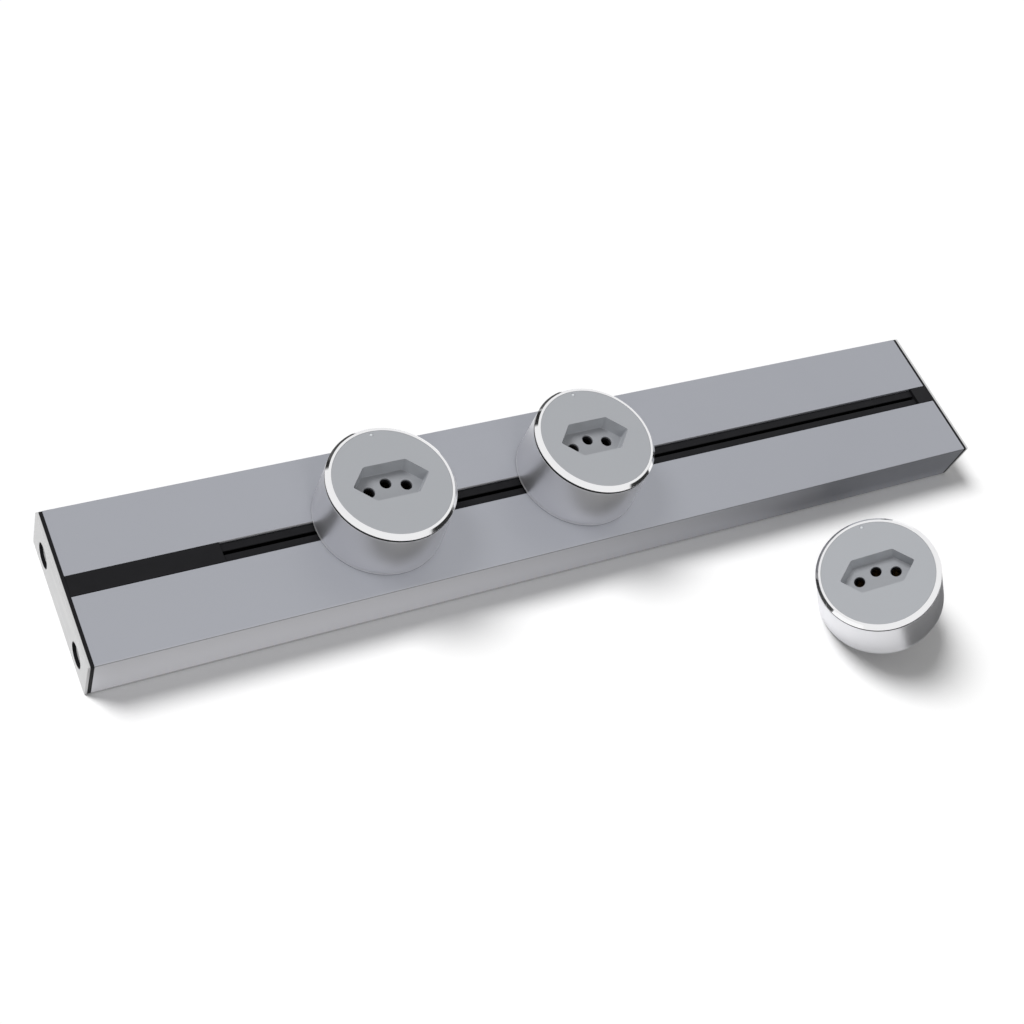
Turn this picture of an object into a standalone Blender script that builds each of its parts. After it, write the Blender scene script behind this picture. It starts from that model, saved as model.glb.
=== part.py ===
# Power track socket: a surface mounted aluminium track with sockets that plug in and lock by a turn.
# Metres, +Z up. The origin is the centre of the track's underside, +X runs along the track.
import math

import bmesh
import bpy

# Fits
CLEARANCE = 0.0003
RUNNING_GAP = 0.0004
OVERLAP = 0.0005

# Round pieces
ROUND_STEPS = 32
PORT_STEPS = 24
HIDDEN_STEPS = 12
SMALL_STEPS = 16
CORNER_STEPS = 3

# Track profile
TRACK_LENGTH = 0.500
TRACK_WIDTH = 0.080
TRACK_HEIGHT = 0.025
EDGE_RADIUS = 0.0006
SIDE_WALL = 0.0018
TOP_WALL = 0.0022
FLOOR_WALL = 0.0020
CHANNEL_WIDTH = 0.035
CHANNEL_WALL = 0.0018
SLOT_WIDTH = 0.0108
PORT_DISTANCE = 0.0064
PORT_HEIGHT = 0.0105
PORT_RADIUS = 0.0040
PORT_BORE_RADIUS = 0.0019
PORT_RIB = 0.0016
EARTH_SEAT_HEIGHT = 0.0058
EARTH_SEAT_WALL = 0.0012
EARTH_RIB = 0.0012

# Ends
END_PLATE = 0.0005
END_CAP = 0.0018
CAP_POCKET_FLOOR = 0.0005
END_HOLE_RADIUS = 0.0062
COLLAR_WALL = 0.0006
RIVET_HEAD = 0.0005
RIVET_LENGTH = 0.0090
RIVET_POINT = 0.0020

# Conductors and their insulation
BUSBAR = 0.0015
BUSBAR_HEIGHT = 0.0075
EARTH_BAR_WIDTH = 0.0100
LINER_WALL = 0.0015
LINER_FOOT = 0.0012
LINER_RIB = 0.0013
LINER_HOOK = 0.0007
HOOK_COVER = 0.0010
LINER_FLANGE = 0.0010
LINER_FLANGE_REACH = 0.0110

# Slot covers
LIP_FOOT = 0.0011
LIP_FOOT_REACH = 0.0041
LIP_THICKNESS = 0.0008
LIP_RECESS = 0.0014
LIP_GAP = 0.0019
FEED_COVER_LENGTH = 0.0696
END_COVER_LENGTH = 0.0101
TERMINAL_LENGTH = 0.0440
TERMINAL_INSET = 0.0060
TERMINAL_WIDTH = 0.0240
TERMINAL_WELL_RADIUS = 0.0022
TERMINAL_WELL_DEPTH = 0.0060
TERMINAL_PITCH = 0.0070

# Socket modules: the first one's distance from the feed end, then heights from the pad's underside
FIRST_SOCKET = 0.1495
SOCKET_PITCH = 0.1100
MODULE_RADIUS = 0.0319
MODULE_HEIGHT = 0.0304
PAD_THICKNESS = 0.0009
GUIDE_RING_WALL = 0.0013
GUIDE_RING_HEIGHT = 0.0015
KEY_DEPTH = 0.0010
KEY_LENGTH = 0.0040
HOUSING_DRAFT = 0.0008
HOUSING_WALL = 0.0022
LEDGE_WIDTH = 0.0014
LEDGE_HEIGHT = 0.0012
RING_HEIGHT = 0.0020
RING_WIDTH = 0.0026
RING_ROUND = 0.0008
RING_RISE = 0.0002
RING_SKIRT = 0.0013
RING_SPIGOT = 0.0030
SHADOW_GAP = 0.0009
FACE_THICKNESS = 0.0025
WELL_DEPTH = 0.0075
WELL_WALL = 0.0012
WELL_OFFSET = 0.0010
WELL_LONG = 0.0384
WELL_FLAT = 0.0214
WELL_WIDTH = 0.0187
WELL_TAPER = 0.0009
WELL_CORNER = 0.0010
PIN_SPACING = 0.0190
EARTH_PIN_OFFSET = 0.0030
PIN_HOLE_RADIUS = 0.00285
LAMP_RADIUS = 0.0009
LAMP_INSET = 0.0016

# Contact carrier and contacts
CARRIER_HEIGHT = 0.0030
CARRIER_THICKNESS = 0.0020
HUB_RADIUS = 0.0095
ENTRY_GAP = 0.0005
STRIP = 0.0010
STRIP_WIDTH = 0.0026
RISER_PLACE = 0.0029
EARTH_RISER_PLACE = 0.0031
TAB_HEIGHT = 0.0020
SLEEVE_RADIUS = 0.0031
SLEEVE_BORE_RADIUS = 0.00245
CONTACT_COVER = 0.0012
EARTH_FOOT = 0.0005
EARTH_FOOT_REACH = 0.0030

# The third module is off the track and lies in front of it
LOOSE_X = 0.1461
LOOSE_Y = -0.1066
LOOSE_HEADING = math.radians(-13.0)

# Derived levels and lengths of the track
END_STACK = END_PLATE + END_CAP + 2 * CLEARANCE
PROFILE_END = TRACK_LENGTH / 2 - END_STACK
COLLAR_RADIUS = END_HOLE_RADIUS - CLEARANCE
POCKET_RADIUS = COLLAR_RADIUS - COLLAR_WALL
RIVET_HEAD_RADIUS = POCKET_RADIUS - CLEARANCE
WEB_UNDERSIDE = TRACK_HEIGHT - TOP_WALL
CHANNEL_HALF = CHANNEL_WIDTH / 2
PORT_PLACE = CHANNEL_HALF + CHANNEL_WALL + PORT_DISTANCE
SLOT_HALF = SLOT_WIDTH / 2
EARTH_BAR_LOW = EARTH_SEAT_HEIGHT + CLEARANCE
EARTH_BAR_TOP = EARTH_BAR_LOW + BUSBAR
EARTH_RIB_INNER = EARTH_BAR_WIDTH / 2 + CLEARANCE
EARTH_RIB_OUTER = EARTH_RIB_INNER + EARTH_RIB
LINER_BACK = CHANNEL_HALF - CLEARANCE
LINER_TOP = WEB_UNDERSIDE - CLEARANCE
LINER_BOTTOM = FLOOR_WALL + CLEARANCE
LINER_GROOVE_BACK = LINER_BACK - LINER_WALL
BUSBAR_BACK = LINER_GROOVE_BACK - CLEARANCE
BUSBAR_FACE = BUSBAR_BACK - BUSBAR
HOOK_BACK = BUSBAR_FACE - CLEARANCE
HOOK_FACE = HOOK_BACK - LINER_HOOK
LIP_FOOT_TOP = WEB_UNDERSIDE - CLEARANCE
LIP_FOOT_LOW = LIP_FOOT_TOP - LIP_FOOT
FLANGE_TOP = LIP_FOOT_LOW - CLEARANCE
FLANGE_LOW = FLANGE_TOP - LINER_FLANGE
FLANGE_EDGE = LINER_BACK - LINER_FLANGE_REACH
GROOVE_TOP = FLANGE_LOW - LINER_RIB
BUSBAR_TOP = GROOVE_TOP - CLEARANCE
BUSBAR_LOW = BUSBAR_TOP - BUSBAR_HEIGHT
GROOVE_LOW = BUSBAR_LOW - CLEARANCE
LIP_BACK = SLOT_HALF - CLEARANCE
LIP_FOOT_EDGE = LIP_BACK + LIP_FOOT_REACH
UPSTAND_FACE = LIP_FOOT_EDGE + CLEARANCE
LIP_TOP = TRACK_HEIGHT - LIP_RECESS
LIP_LOW = -PROFILE_END + FEED_COVER_LENGTH + CLEARANCE
LIP_HIGH = PROFILE_END - END_COVER_LENGTH - CLEARANCE

# Derived places, levels and radii of a module
FIRST_PLACE = FIRST_SOCKET - TRACK_LENGTH / 2
SOCKET_PLACES = (FIRST_PLACE, FIRST_PLACE + SOCKET_PITCH)
MODULE_BASE = TRACK_HEIGHT + CLEARANCE
HOUSING_TOP_RADIUS = MODULE_RADIUS - HOUSING_DRAFT
RING_CROWN_RADIUS = HOUSING_TOP_RADIUS - RING_ROUND
RING_EDGE = HOUSING_TOP_RADIUS - RING_WIDTH
FACE_RADIUS = RING_EDGE - CLEARANCE
LAMP_PLACE = FACE_RADIUS - LAMP_INSET
RING_TOP = MODULE_HEIGHT
RING_BOTTOM = RING_TOP - RING_HEIGHT
HOUSING_TOP = RING_BOTTOM - SHADOW_GAP
FACE_HEIGHT = RING_TOP - RING_RISE
HOUSING_BOTTOM = PAD_THICKNESS + CLEARANCE
HOUSING_INNER = HOUSING_TOP_RADIUS - HOUSING_WALL
FIT_RADIUS = HOUSING_INNER - CLEARANCE
LEDGE_RADIUS = HOUSING_INNER - LEDGE_WIDTH
RING_SEAT = FACE_HEIGHT - FACE_THICKNESS - CLEARANCE
RING_SPIGOT_BOTTOM = RING_BOTTOM - RING_SPIGOT
UPPER_LEDGE = RING_SPIGOT_BOTTOM - CLEARANCE
CARRIER_TOP = CARRIER_HEIGHT + CARRIER_THICKNESS
LOWER_LEDGE = CARRIER_TOP + CLEARANCE
WELL_FLOOR = FACE_HEIGHT - WELL_DEPTH
WELL_BOTTOM = WELL_FLOOR - WELL_WALL
COVER_TOP = WELL_BOTTOM - CLEARANCE
COVER_BOTTOM = COVER_TOP - CONTACT_COVER
SLEEVE_BOTTOM = CARRIER_TOP + CLEARANCE
SLEEVE_TOP = COVER_BOTTOM - CLEARANCE
SLEEVE_FLOOR = SLEEVE_BOTTOM + STRIP
PIN_PLACES = {
    "live": (-PIN_SPACING / 2, WELL_OFFSET),
    "neutral": (PIN_SPACING / 2, WELL_OFFSET),
    "earth": (0.0, WELL_OFFSET + EARTH_PIN_OFFSET),
}
KEY_WIDTH = SLOT_WIDTH - 2 * CLEARANCE
BLOCK_WIDTH = SLOT_WIDTH - 2 * ENTRY_GAP
BLOCK_RADIUS = HOOK_FACE - RUNNING_GAP
BLOCK_TOP = FLANGE_LOW - RUNNING_GAP - MODULE_BASE
BLOCK_BOTTOM = EARTH_BAR_TOP + EARTH_FOOT + 2 * CLEARANCE - MODULE_BASE
NECK_RADIUS = BLOCK_WIDTH / 2
TAB_REACH = BUSBAR_FACE - CLEARANCE
TAB_LEVEL = (BUSBAR_LOW + BUSBAR_TOP) / 2 - MODULE_BASE
PASSAGE_HALF = BLOCK_RADIUS + RUNNING_GAP
PASSAGE_WIDTH = BLOCK_WIDTH + 2 * CLEARANCE
LEAN = math.atan(-BLOCK_BOTTOM / (MODULE_RADIUS - BLOCK_WIDTH / 2))

# Colour, roughness and metallic value of each material
FINISHES = {
    "anodised_aluminium": ((0.38, 0.39, 0.42), 0.42, 0.85),
    "pale_plate": ((0.68, 0.68, 0.68), 0.45, 0.30),
    "black_plastic": ((0.015, 0.016, 0.018), 0.45, 0.0),
    "black_rubber": ((0.012, 0.012, 0.014), 0.60, 0.0),
    "white_insulation": ((0.75, 0.75, 0.73), 0.50, 0.0),
    "copper": ((0.72, 0.34, 0.20), 0.30, 1.0),
    "brass": ((0.70, 0.52, 0.22), 0.30, 1.0),
    "silver_plastic": ((0.36, 0.37, 0.39), 0.38, 0.35),
    "face_plastic": ((0.39, 0.41, 0.43), 0.40, 0.20),
    "chrome": ((0.86, 0.86, 0.88), 0.08, 1.0),
    "clear_lens": ((0.80, 0.83, 0.84), 0.20, 0.0),
}

for old in list(bpy.data.objects):
    bpy.data.objects.remove(old, do_unlink=True)

PARTS = bpy.data.collections.new("power_track_socket")
CUTTERS = bpy.data.collections.new("cutters")
bpy.context.scene.collection.children.link(PARTS)
bpy.context.scene.collection.children.link(CUTTERS)


def finish(name):
    """The material of that name, made at its first use."""
    found = bpy.data.materials.get(name)
    if found:
        return found
    colour, roughness, metallic = FINISHES[name]
    made = bpy.data.materials.new(name)
    made.use_nodes = True
    shader = made.node_tree.nodes["Principled BSDF"]
    shader.inputs["Base Color"].default_value = (*colour, 1.0)
    shader.inputs["Roughness"].default_value = roughness
    shader.inputs["Metallic"].default_value = metallic
    return made


def keep(obj, look, parent=None):
    """Files a finished piece under the parts, with its material and its parent."""
    for group in list(obj.users_collection):
        group.objects.unlink(obj)
    PARTS.objects.link(obj)
    obj.data.materials.clear()
    obj.data.materials.append(finish(look))
    obj.parent = parent
    return obj


def guide(obj, parent=None):
    """Files a piece that only cuts or adds to another one."""
    for group in list(obj.users_collection):
        group.objects.unlink(obj)
    CUTTERS.objects.link(obj)
    obj.parent = parent
    obj.hide_render = True
    obj.display_type = "WIRE"
    return obj


def combine(obj, other, operation):
    """Adds an exact Boolean with another piece."""
    step = obj.modifiers.new(other.name, "BOOLEAN")
    step.operation = operation
    step.solver = "EXACT"
    step.object = other


def arc(centre, radius, start, end, steps):
    """Points on an arc, both ends included, angles in radians."""
    turn = (end - start) / steps
    angles = [start + turn * i for i in range(steps + 1)]
    return [(centre[0] + radius * math.cos(a), centre[1] + radius * math.sin(a)) for a in angles]


def circle(centre, radius, steps=SMALL_STEPS):
    """Points round a full circle."""
    return arc(centre, radius, 0.0, math.tau, steps)[:-1]


def rounded(corners, radii):
    """The outline with each corner replaced by an arc of its own radius, or kept where that is 0."""
    points = []
    for i, (x, y) in enumerate(corners):
        if radii[i] == 0:
            points.append((x, y))
            continue
        before = corners[i - 1]
        after = corners[(i + 1) % len(corners)]
        back = math.atan2(before[1] - y, before[0] - x)
        ahead = math.atan2(after[1] - y, after[0] - x)
        opening = (ahead - back + math.pi) % math.tau - math.pi
        middle = back + opening / 2
        away = radii[i] / abs(math.sin(opening / 2))
        centre = (x + away * math.cos(middle), y + away * math.sin(middle))
        sweep = opening - math.copysign(math.pi, opening)
        start = middle + math.pi - sweep / 2
        points += arc(centre, radii[i], start, start + sweep, CORNER_STEPS)
    return points


def rectangle(low, high):
    """The four corners between a low and a high corner."""
    return [(low[0], low[1]), (high[0], low[1]), (high[0], high[1]), (low[0], high[1])]


def mirrored(points):
    """The points on the other side of the second axis."""
    return [(-x, y) for x, y in points]


def turned(name, points, closed=True, steps=ROUND_STEPS):
    """A body of revolution about Z from (radius, height) points that run down the outer side."""
    mesh = bpy.data.meshes.new(name)
    edges = [(i, i + 1) for i in range(len(points) - 1)]
    if closed:
        edges.append((len(points) - 1, 0))
    mesh.from_pydata([(radius, 0.0, height) for radius, height in points], edges, [])
    obj = bpy.data.objects.new(name, mesh)
    screw = obj.modifiers.new("turn", "SCREW")
    screw.axis = "Z"
    screw.angle = math.tau
    screw.steps = steps
    screw.render_steps = steps
    screw.use_merge_vertices = True
    screw.merge_threshold = 0.00001
    screw.use_smooth_shade = True
    return obj


def prism(name, loops, low, high, axis="Z"):
    """Outlines extruded from low to high along an axis, inner outlines being holes."""
    curve = bpy.data.curves.new(name, "CURVE")
    curve.dimensions = "2D"
    curve.fill_mode = "BOTH"
    curve.extrude = (high - low) / 2
    for loop in loops:
        spline = curve.splines.new("POLY")
        spline.points.add(len(loop) - 1)
        spline.use_cyclic_u = True
        for point, (x, y) in zip(spline.points, loop):
            point.co = (x, y, 0.0, 1.0)
    drawn = bpy.data.objects.new(name + "_outline", curve)
    bpy.context.scene.collection.objects.link(drawn)
    seen = drawn.evaluated_get(bpy.context.evaluated_depsgraph_get())
    mesh = bpy.data.meshes.new_from_object(seen)
    bpy.data.objects.remove(drawn, do_unlink=True)
    edit = bmesh.new()
    edit.from_mesh(mesh)
    bmesh.ops.remove_doubles(edit, verts=edit.verts, dist=0.000001)
    bmesh.ops.recalc_face_normals(edit, faces=edit.faces)
    edit.to_mesh(mesh)
    edit.free()
    return placed(bpy.data.objects.new(name, mesh), (0.0, 0.0), (low + high) / 2, axis)


def placed(obj, centre, middle, axis):
    """Turns a piece that was made along Z to its axis and moves it to its place."""
    across, up = centre
    if axis == "X":
        obj.rotation_euler = (math.pi / 2, 0.0, math.pi / 2)
        obj.location = (middle, across, up)
    elif axis == "Y":
        obj.rotation_euler = (math.pi / 2, 0.0, 0.0)
        obj.location = (across, middle, up)
    else:
        obj.location = (across, up, middle)
    return obj


def rod(name, centre, radius, low, high, axis="Z", steps=SMALL_STEPS):
    """A round bar from low to high along an axis, with its centre in the plane across it."""
    mesh = bpy.data.meshes.new(name)
    edit = bmesh.new()
    bmesh.ops.create_cone(
        edit, cap_ends=True, segments=steps, radius1=radius, radius2=radius, depth=high - low
    )
    edit.to_mesh(mesh)
    edit.free()
    return placed(bpy.data.objects.new(name, mesh), centre, (low + high) / 2, axis)


def box(name, low, high):
    """A box between two corners."""
    mesh = bpy.data.meshes.new(name)
    edit = bmesh.new()
    bmesh.ops.create_cube(edit, size=1.0)
    bmesh.ops.scale(edit, vec=[b - a for a, b in zip(low, high)], verts=edit.verts)
    edit.to_mesh(mesh)
    edit.free()
    obj = bpy.data.objects.new(name, mesh)
    obj.location = [(a + b) / 2 for a, b in zip(low, high)]
    return obj


def cut(obj, tool, parent=None):
    """Cuts a tool out of a piece."""
    combine(obj, guide(tool, parent), "DIFFERENCE")


def add(obj, tool, parent=None):
    """Joins a form to a piece."""
    combine(obj, guide(tool, parent), "UNION")


def chamber(above):
    """The hollow above or below the screw port, on the far side of the profile."""
    inner = CHANNEL_HALF + CHANNEL_WALL
    outer = TRACK_WIDTH / 2 - SIDE_WALL
    port = (PORT_PLACE, PORT_HEIGHT)
    lift = math.asin(PORT_RIB / 2 / PORT_RADIUS)
    turn = 1 if above else -1
    level = PORT_HEIGHT + turn * PORT_RIB / 2
    far = WEB_UNDERSIDE if above else FLOOR_WALL
    crown = arc(port, PORT_RADIUS, turn * lift, turn * (math.pi - lift), SMALL_STEPS // 2)
    return [(inner, far), (outer, far), (outer, level)] + crown + [(inner, level)]


def end_outline():
    """The track's outer rectangle with its slightly broken edges."""
    half = TRACK_WIDTH / 2
    return rounded(rectangle((-half, 0.0), (half, TRACK_HEIGHT)), [EDGE_RADIUS] * 4)


def track_extrusion():
    """The hollow aluminium profile: slotted channel, earth strip seat, screw ports and chambers."""
    half = TRACK_WIDTH / 2
    outside = [(SLOT_HALF, TRACK_HEIGHT), (half, TRACK_HEIGHT), (half, 0.0)]
    channel = [
        (SLOT_HALF, WEB_UNDERSIDE),
        (CHANNEL_HALF, WEB_UNDERSIDE),
        (CHANNEL_HALF, FLOOR_WALL),
        (EARTH_RIB_OUTER, FLOOR_WALL),
        (EARTH_RIB_OUTER, EARTH_BAR_TOP),
        (EARTH_RIB_INNER, EARTH_BAR_TOP),
        (EARTH_RIB_INNER, EARTH_SEAT_HEIGHT),
    ]
    corners = outside + mirrored(outside[::-1]) + mirrored(channel) + channel[::-1]
    radii = [0, EDGE_RADIUS, EDGE_RADIUS, EDGE_RADIUS, EDGE_RADIUS] + [0] * (len(corners) - 5)
    loops = [rounded(corners, radii)]
    seat_top = EARTH_SEAT_HEIGHT - EARTH_SEAT_WALL
    loops.append(rectangle((-EARTH_RIB_INNER, FLOOR_WALL), (EARTH_RIB_INNER, seat_top)))
    for hollow in (chamber(True), chamber(False), circle((PORT_PLACE, PORT_HEIGHT), PORT_BORE_RADIUS)):
        loops += [hollow, mirrored(hollow)]
    keep(prism("track_extrusion", loops, -PROFILE_END, PROFILE_END, "X"), "anodised_aluminium")


def liners():
    """The two insulating liners of the channel, which hold the busbars and carry the dust lips."""
    section = [
        (LINER_BACK, LINER_BOTTOM),
        (LINER_BACK, LINER_TOP),
        (UPSTAND_FACE, LINER_TOP),
        (UPSTAND_FACE, FLANGE_TOP),
        (FLANGE_EDGE, FLANGE_TOP),
        (FLANGE_EDGE, FLANGE_LOW),
        (HOOK_FACE, FLANGE_LOW),
        (HOOK_FACE, BUSBAR_TOP - HOOK_COVER),
        (HOOK_BACK, BUSBAR_TOP - HOOK_COVER),
        (HOOK_BACK, GROOVE_TOP),
        (LINER_GROOVE_BACK, GROOVE_TOP),
        (LINER_GROOVE_BACK, GROOVE_LOW),
        (HOOK_BACK, GROOVE_LOW),
        (HOOK_BACK, BUSBAR_LOW + HOOK_COVER),
        (HOOK_FACE, BUSBAR_LOW + HOOK_COVER),
        (HOOK_FACE, GROOVE_LOW - LINER_RIB),
        (LINER_GROOVE_BACK, GROOVE_LOW - LINER_RIB),
        (LINER_GROOVE_BACK, LINER_BOTTOM + LINER_FOOT),
        (EARTH_RIB_OUTER + CLEARANCE, LINER_BOTTOM + LINER_FOOT),
        (EARTH_RIB_OUTER + CLEARANCE, LINER_BOTTOM),
    ]
    for name, outline in (("rear_liner", section), ("front_liner", mirrored(section))):
        keep(prism(name, [outline], -PROFILE_END, PROFILE_END, "X"), "black_plastic")


def busbars():
    """Live at the back, neutral at the front and the earth strip on its seat in the floor."""
    strip = rectangle((BUSBAR_FACE, BUSBAR_LOW), (BUSBAR_BACK, BUSBAR_TOP))
    half = EARTH_BAR_WIDTH / 2
    earth = rectangle((-half, EARTH_BAR_LOW), (half, EARTH_BAR_TOP))
    for name, outline in (
        ("live_busbar", strip),
        ("neutral_busbar", mirrored(strip)),
        ("earth_busbar", earth),
    ):
        keep(prism(name, [outline], -PROFILE_END, PROFILE_END, "X"), "copper")


def dust_lips():
    """The two flexible lips that close the slot, parted round the neck of each module."""
    section = [
        (LIP_FOOT_EDGE, LIP_FOOT_LOW),
        (LIP_FOOT_EDGE, LIP_FOOT_TOP),
        (LIP_BACK, LIP_FOOT_TOP),
        (LIP_BACK, LIP_TOP),
        (LIP_GAP / 2, LIP_TOP),
        (LIP_GAP / 2, LIP_TOP - LIP_THICKNESS),
        (LIP_BACK - LIP_THICKNESS, LIP_TOP - LIP_THICKNESS),
        (LIP_BACK - LIP_THICKNESS, LIP_FOOT_LOW),
    ]
    for name, outline in (("rear_dust_lip", section), ("front_dust_lip", mirrored(section))):
        lip = keep(prism(name, [outline], LIP_LOW, LIP_HIGH, "X"), "black_rubber")
        for i, place in enumerate(SOCKET_PLACES):
            neck = rod(
                f"{name}_part_{i + 1}", (place, 0.0), NECK_RADIUS + CLEARANCE, FLANGE_LOW, TRACK_HEIGHT,
            )
            cut(lip, neck)


def slot_cover(name, low, high):
    """A block that fills the slot flush with the track's top, held under the web by its flange."""
    half = SLOT_HALF - CLEARANCE
    section = [
        (half, LIP_FOOT_TOP),
        (half, TRACK_HEIGHT),
        (-half, TRACK_HEIGHT),
        (-half, LIP_FOOT_TOP),
        (-LIP_FOOT_EDGE, LIP_FOOT_TOP),
        (-LIP_FOOT_EDGE, LIP_FOOT_LOW),
        (LIP_FOOT_EDGE, LIP_FOOT_LOW),
        (LIP_FOOT_EDGE, LIP_FOOT_TOP),
    ]
    keep(prism(name, [section], low, high, "X"), "black_plastic")


def feed_terminal():
    """The feed's terminal block, on the earth strip under the long cover."""
    low = -PROFILE_END + TERMINAL_INSET
    high = low + TERMINAL_LENGTH
    half = TERMINAL_WIDTH / 2
    bottom = EARTH_BAR_TOP + CLEARANCE
    top = FLANGE_LOW - CLEARANCE
    body = box("feed_terminal", (low, -half, bottom), (high, half, top))
    keep(body, "white_insulation")
    middle = (low + high) / 2
    well_floor = top - TERMINAL_WELL_DEPTH
    level = well_floor + TERMINAL_WELL_RADIUS / 2
    radius = TERMINAL_WELL_RADIUS
    for i in (-1, 0, 1):
        row = i * TERMINAL_PITCH
        word = f"terminal_well_{i + 2}"
        cut(body, rod(word, (middle, row), radius, well_floor, TRACK_HEIGHT, "Z", HIDDEN_STEPS))
        word = f"terminal_wire_{i + 2}"
        cut(body, rod(word, (row, level), radius, low - OVERLAP, middle, "X", HIDDEN_STEPS))


def track_end(side, word):
    """Cap with two collars, pale plate round them and two push rivets of one end; side is -1 or 1."""
    cap_inner = PROFILE_END + CLEARANCE
    cap_outer = cap_inner + END_CAP
    pocket = cap_inner + CAP_POCKET_FLOOR
    plate_inner = cap_outer + CLEARANCE
    face = plate_inner + END_PLATE
    ports = [(PORT_PLACE, PORT_HEIGHT), (-PORT_PLACE, PORT_HEIGHT)]
    low, high = sorted((side * cap_inner, side * cap_outer))
    bores = [circle(port, PORT_BORE_RADIUS) for port in ports]
    cap = keep(prism(f"{word}_end_cap", [end_outline()] + bores, low, high, "X"), "black_plastic")
    for i, port in enumerate(ports):
        low, high = sorted((side * (cap_outer - OVERLAP), side * face))
        add(cap, rod(f"{word}_cap_collar_{i + 1}", port, COLLAR_RADIUS, low, high, "X", PORT_STEPS))
        low, high = sorted((side * pocket, side * (face + OVERLAP)))
        cut(cap, rod(f"{word}_cap_pocket_{i + 1}", port, POCKET_RADIUS, low, high, "X", PORT_STEPS))
    low, high = sorted((side * plate_inner, side * face))
    holes = [circle(port, END_HOLE_RADIUS, PORT_STEPS) for port in ports]
    keep(prism(f"{word}_end_plate", [end_outline()] + holes, low, high, "X"), "pale_plate")
    head_inner = pocket + CLEARANCE
    tip = head_inner - RIVET_LENGTH
    shank = PORT_BORE_RADIUS - CLEARANCE
    profile = [
        (0.0, head_inner + RIVET_HEAD),
        (RIVET_HEAD_RADIUS, head_inner + RIVET_HEAD),
        (RIVET_HEAD_RADIUS, head_inner),
        (shank, head_inner),
        (shank, tip + RIVET_POINT),
        (shank / 2, tip),
        (0.0, tip),
    ]
    for port, row in zip(ports, ("rear", "front")):
        rivet = turned(f"{word}_{row}_end_rivet", profile, closed=False, steps=SMALL_STEPS)
        rivet.rotation_euler = (0.0, side * math.pi / 2, 0.0)
        rivet.location = (0.0, port[0], port[1])
        keep(rivet, "pale_plate")


def hexagon():
    """The outline of the plug recess, its long diagonal along X."""
    tip = WELL_LONG / 2
    flat = WELL_FLAT / 2
    half = WELL_WIDTH / 2
    return [(tip, 0.0), (flat, half), (-flat, half), (-tip, 0.0), (-flat, -half), (flat, -half)]


def recess(name):
    """The tapered hollow of the plug recess, wide at the face and narrower at its floor."""
    mesh = bpy.data.meshes.new(name)
    edit = bmesh.new()
    outline = rounded(hexagon(), [WELL_CORNER] * 6)
    wide = edit.faces.new([edit.verts.new((x, y, FACE_HEIGHT)) for x, y in outline])
    lower = bmesh.ops.extrude_face_region(edit, geom=[wide])
    verts = [item for item in lower["geom"] if isinstance(item, bmesh.types.BMVert)]
    narrow = (1 - 2 * WELL_TAPER / WELL_LONG, 1 - 2 * WELL_TAPER / WELL_WIDTH, 1.0)
    bmesh.ops.scale(edit, vec=narrow, verts=verts)
    bmesh.ops.translate(edit, vec=(0.0, 0.0, -WELL_DEPTH), verts=verts)
    rise = bmesh.ops.extrude_face_region(edit, geom=[wide])
    verts = [item for item in rise["geom"] if isinstance(item, bmesh.types.BMVert)]
    bmesh.ops.translate(edit, vec=(0.0, 0.0, OVERLAP), verts=verts)
    bmesh.ops.delete(edit, geom=[wide], context="FACES_ONLY")
    bmesh.ops.recalc_face_normals(edit, faces=edit.faces)
    edit.to_mesh(mesh)
    edit.free()
    obj = bpy.data.objects.new(name, mesh)
    obj.location = (0.0, WELL_OFFSET, 0.0)
    return obj


def guide_pad(name, parent):
    """The pad that slides in the slot on its two keys and carries the turning module."""
    ring = FIT_RADIUS - GUIDE_RING_WALL
    profile = [
        (0.0, PAD_THICKNESS),
        (ring, PAD_THICKNESS),
        (ring, PAD_THICKNESS + GUIDE_RING_HEIGHT),
        (FIT_RADIUS, PAD_THICKNESS + GUIDE_RING_HEIGHT),
        (FIT_RADIUS, PAD_THICKNESS),
        (MODULE_RADIUS, PAD_THICKNESS),
        (MODULE_RADIUS, 0.0),
        (0.0, 0.0),
    ]
    pad = keep(turned(name, profile, closed=False), "silver_plastic", parent)
    half = PASSAGE_WIDTH / 2
    passage = rectangle((-PASSAGE_HALF, -half), (PASSAGE_HALF, half))
    cut(pad, prism(f"{name}_passage", [passage], -OVERLAP, PAD_THICKNESS + OVERLAP), parent)
    for word, side in (("fore", 1), ("aft", -1)):
        near = side * (PASSAGE_HALF + CLEARANCE)
        far = near + side * KEY_LENGTH
        low = (min(near, far), -KEY_WIDTH / 2, -KEY_DEPTH)
        high = (max(near, far), KEY_WIDTH / 2, PAD_THICKNESS / 2)
        add(pad, box(f"{name}_{word}_key", low, high), parent)


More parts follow.
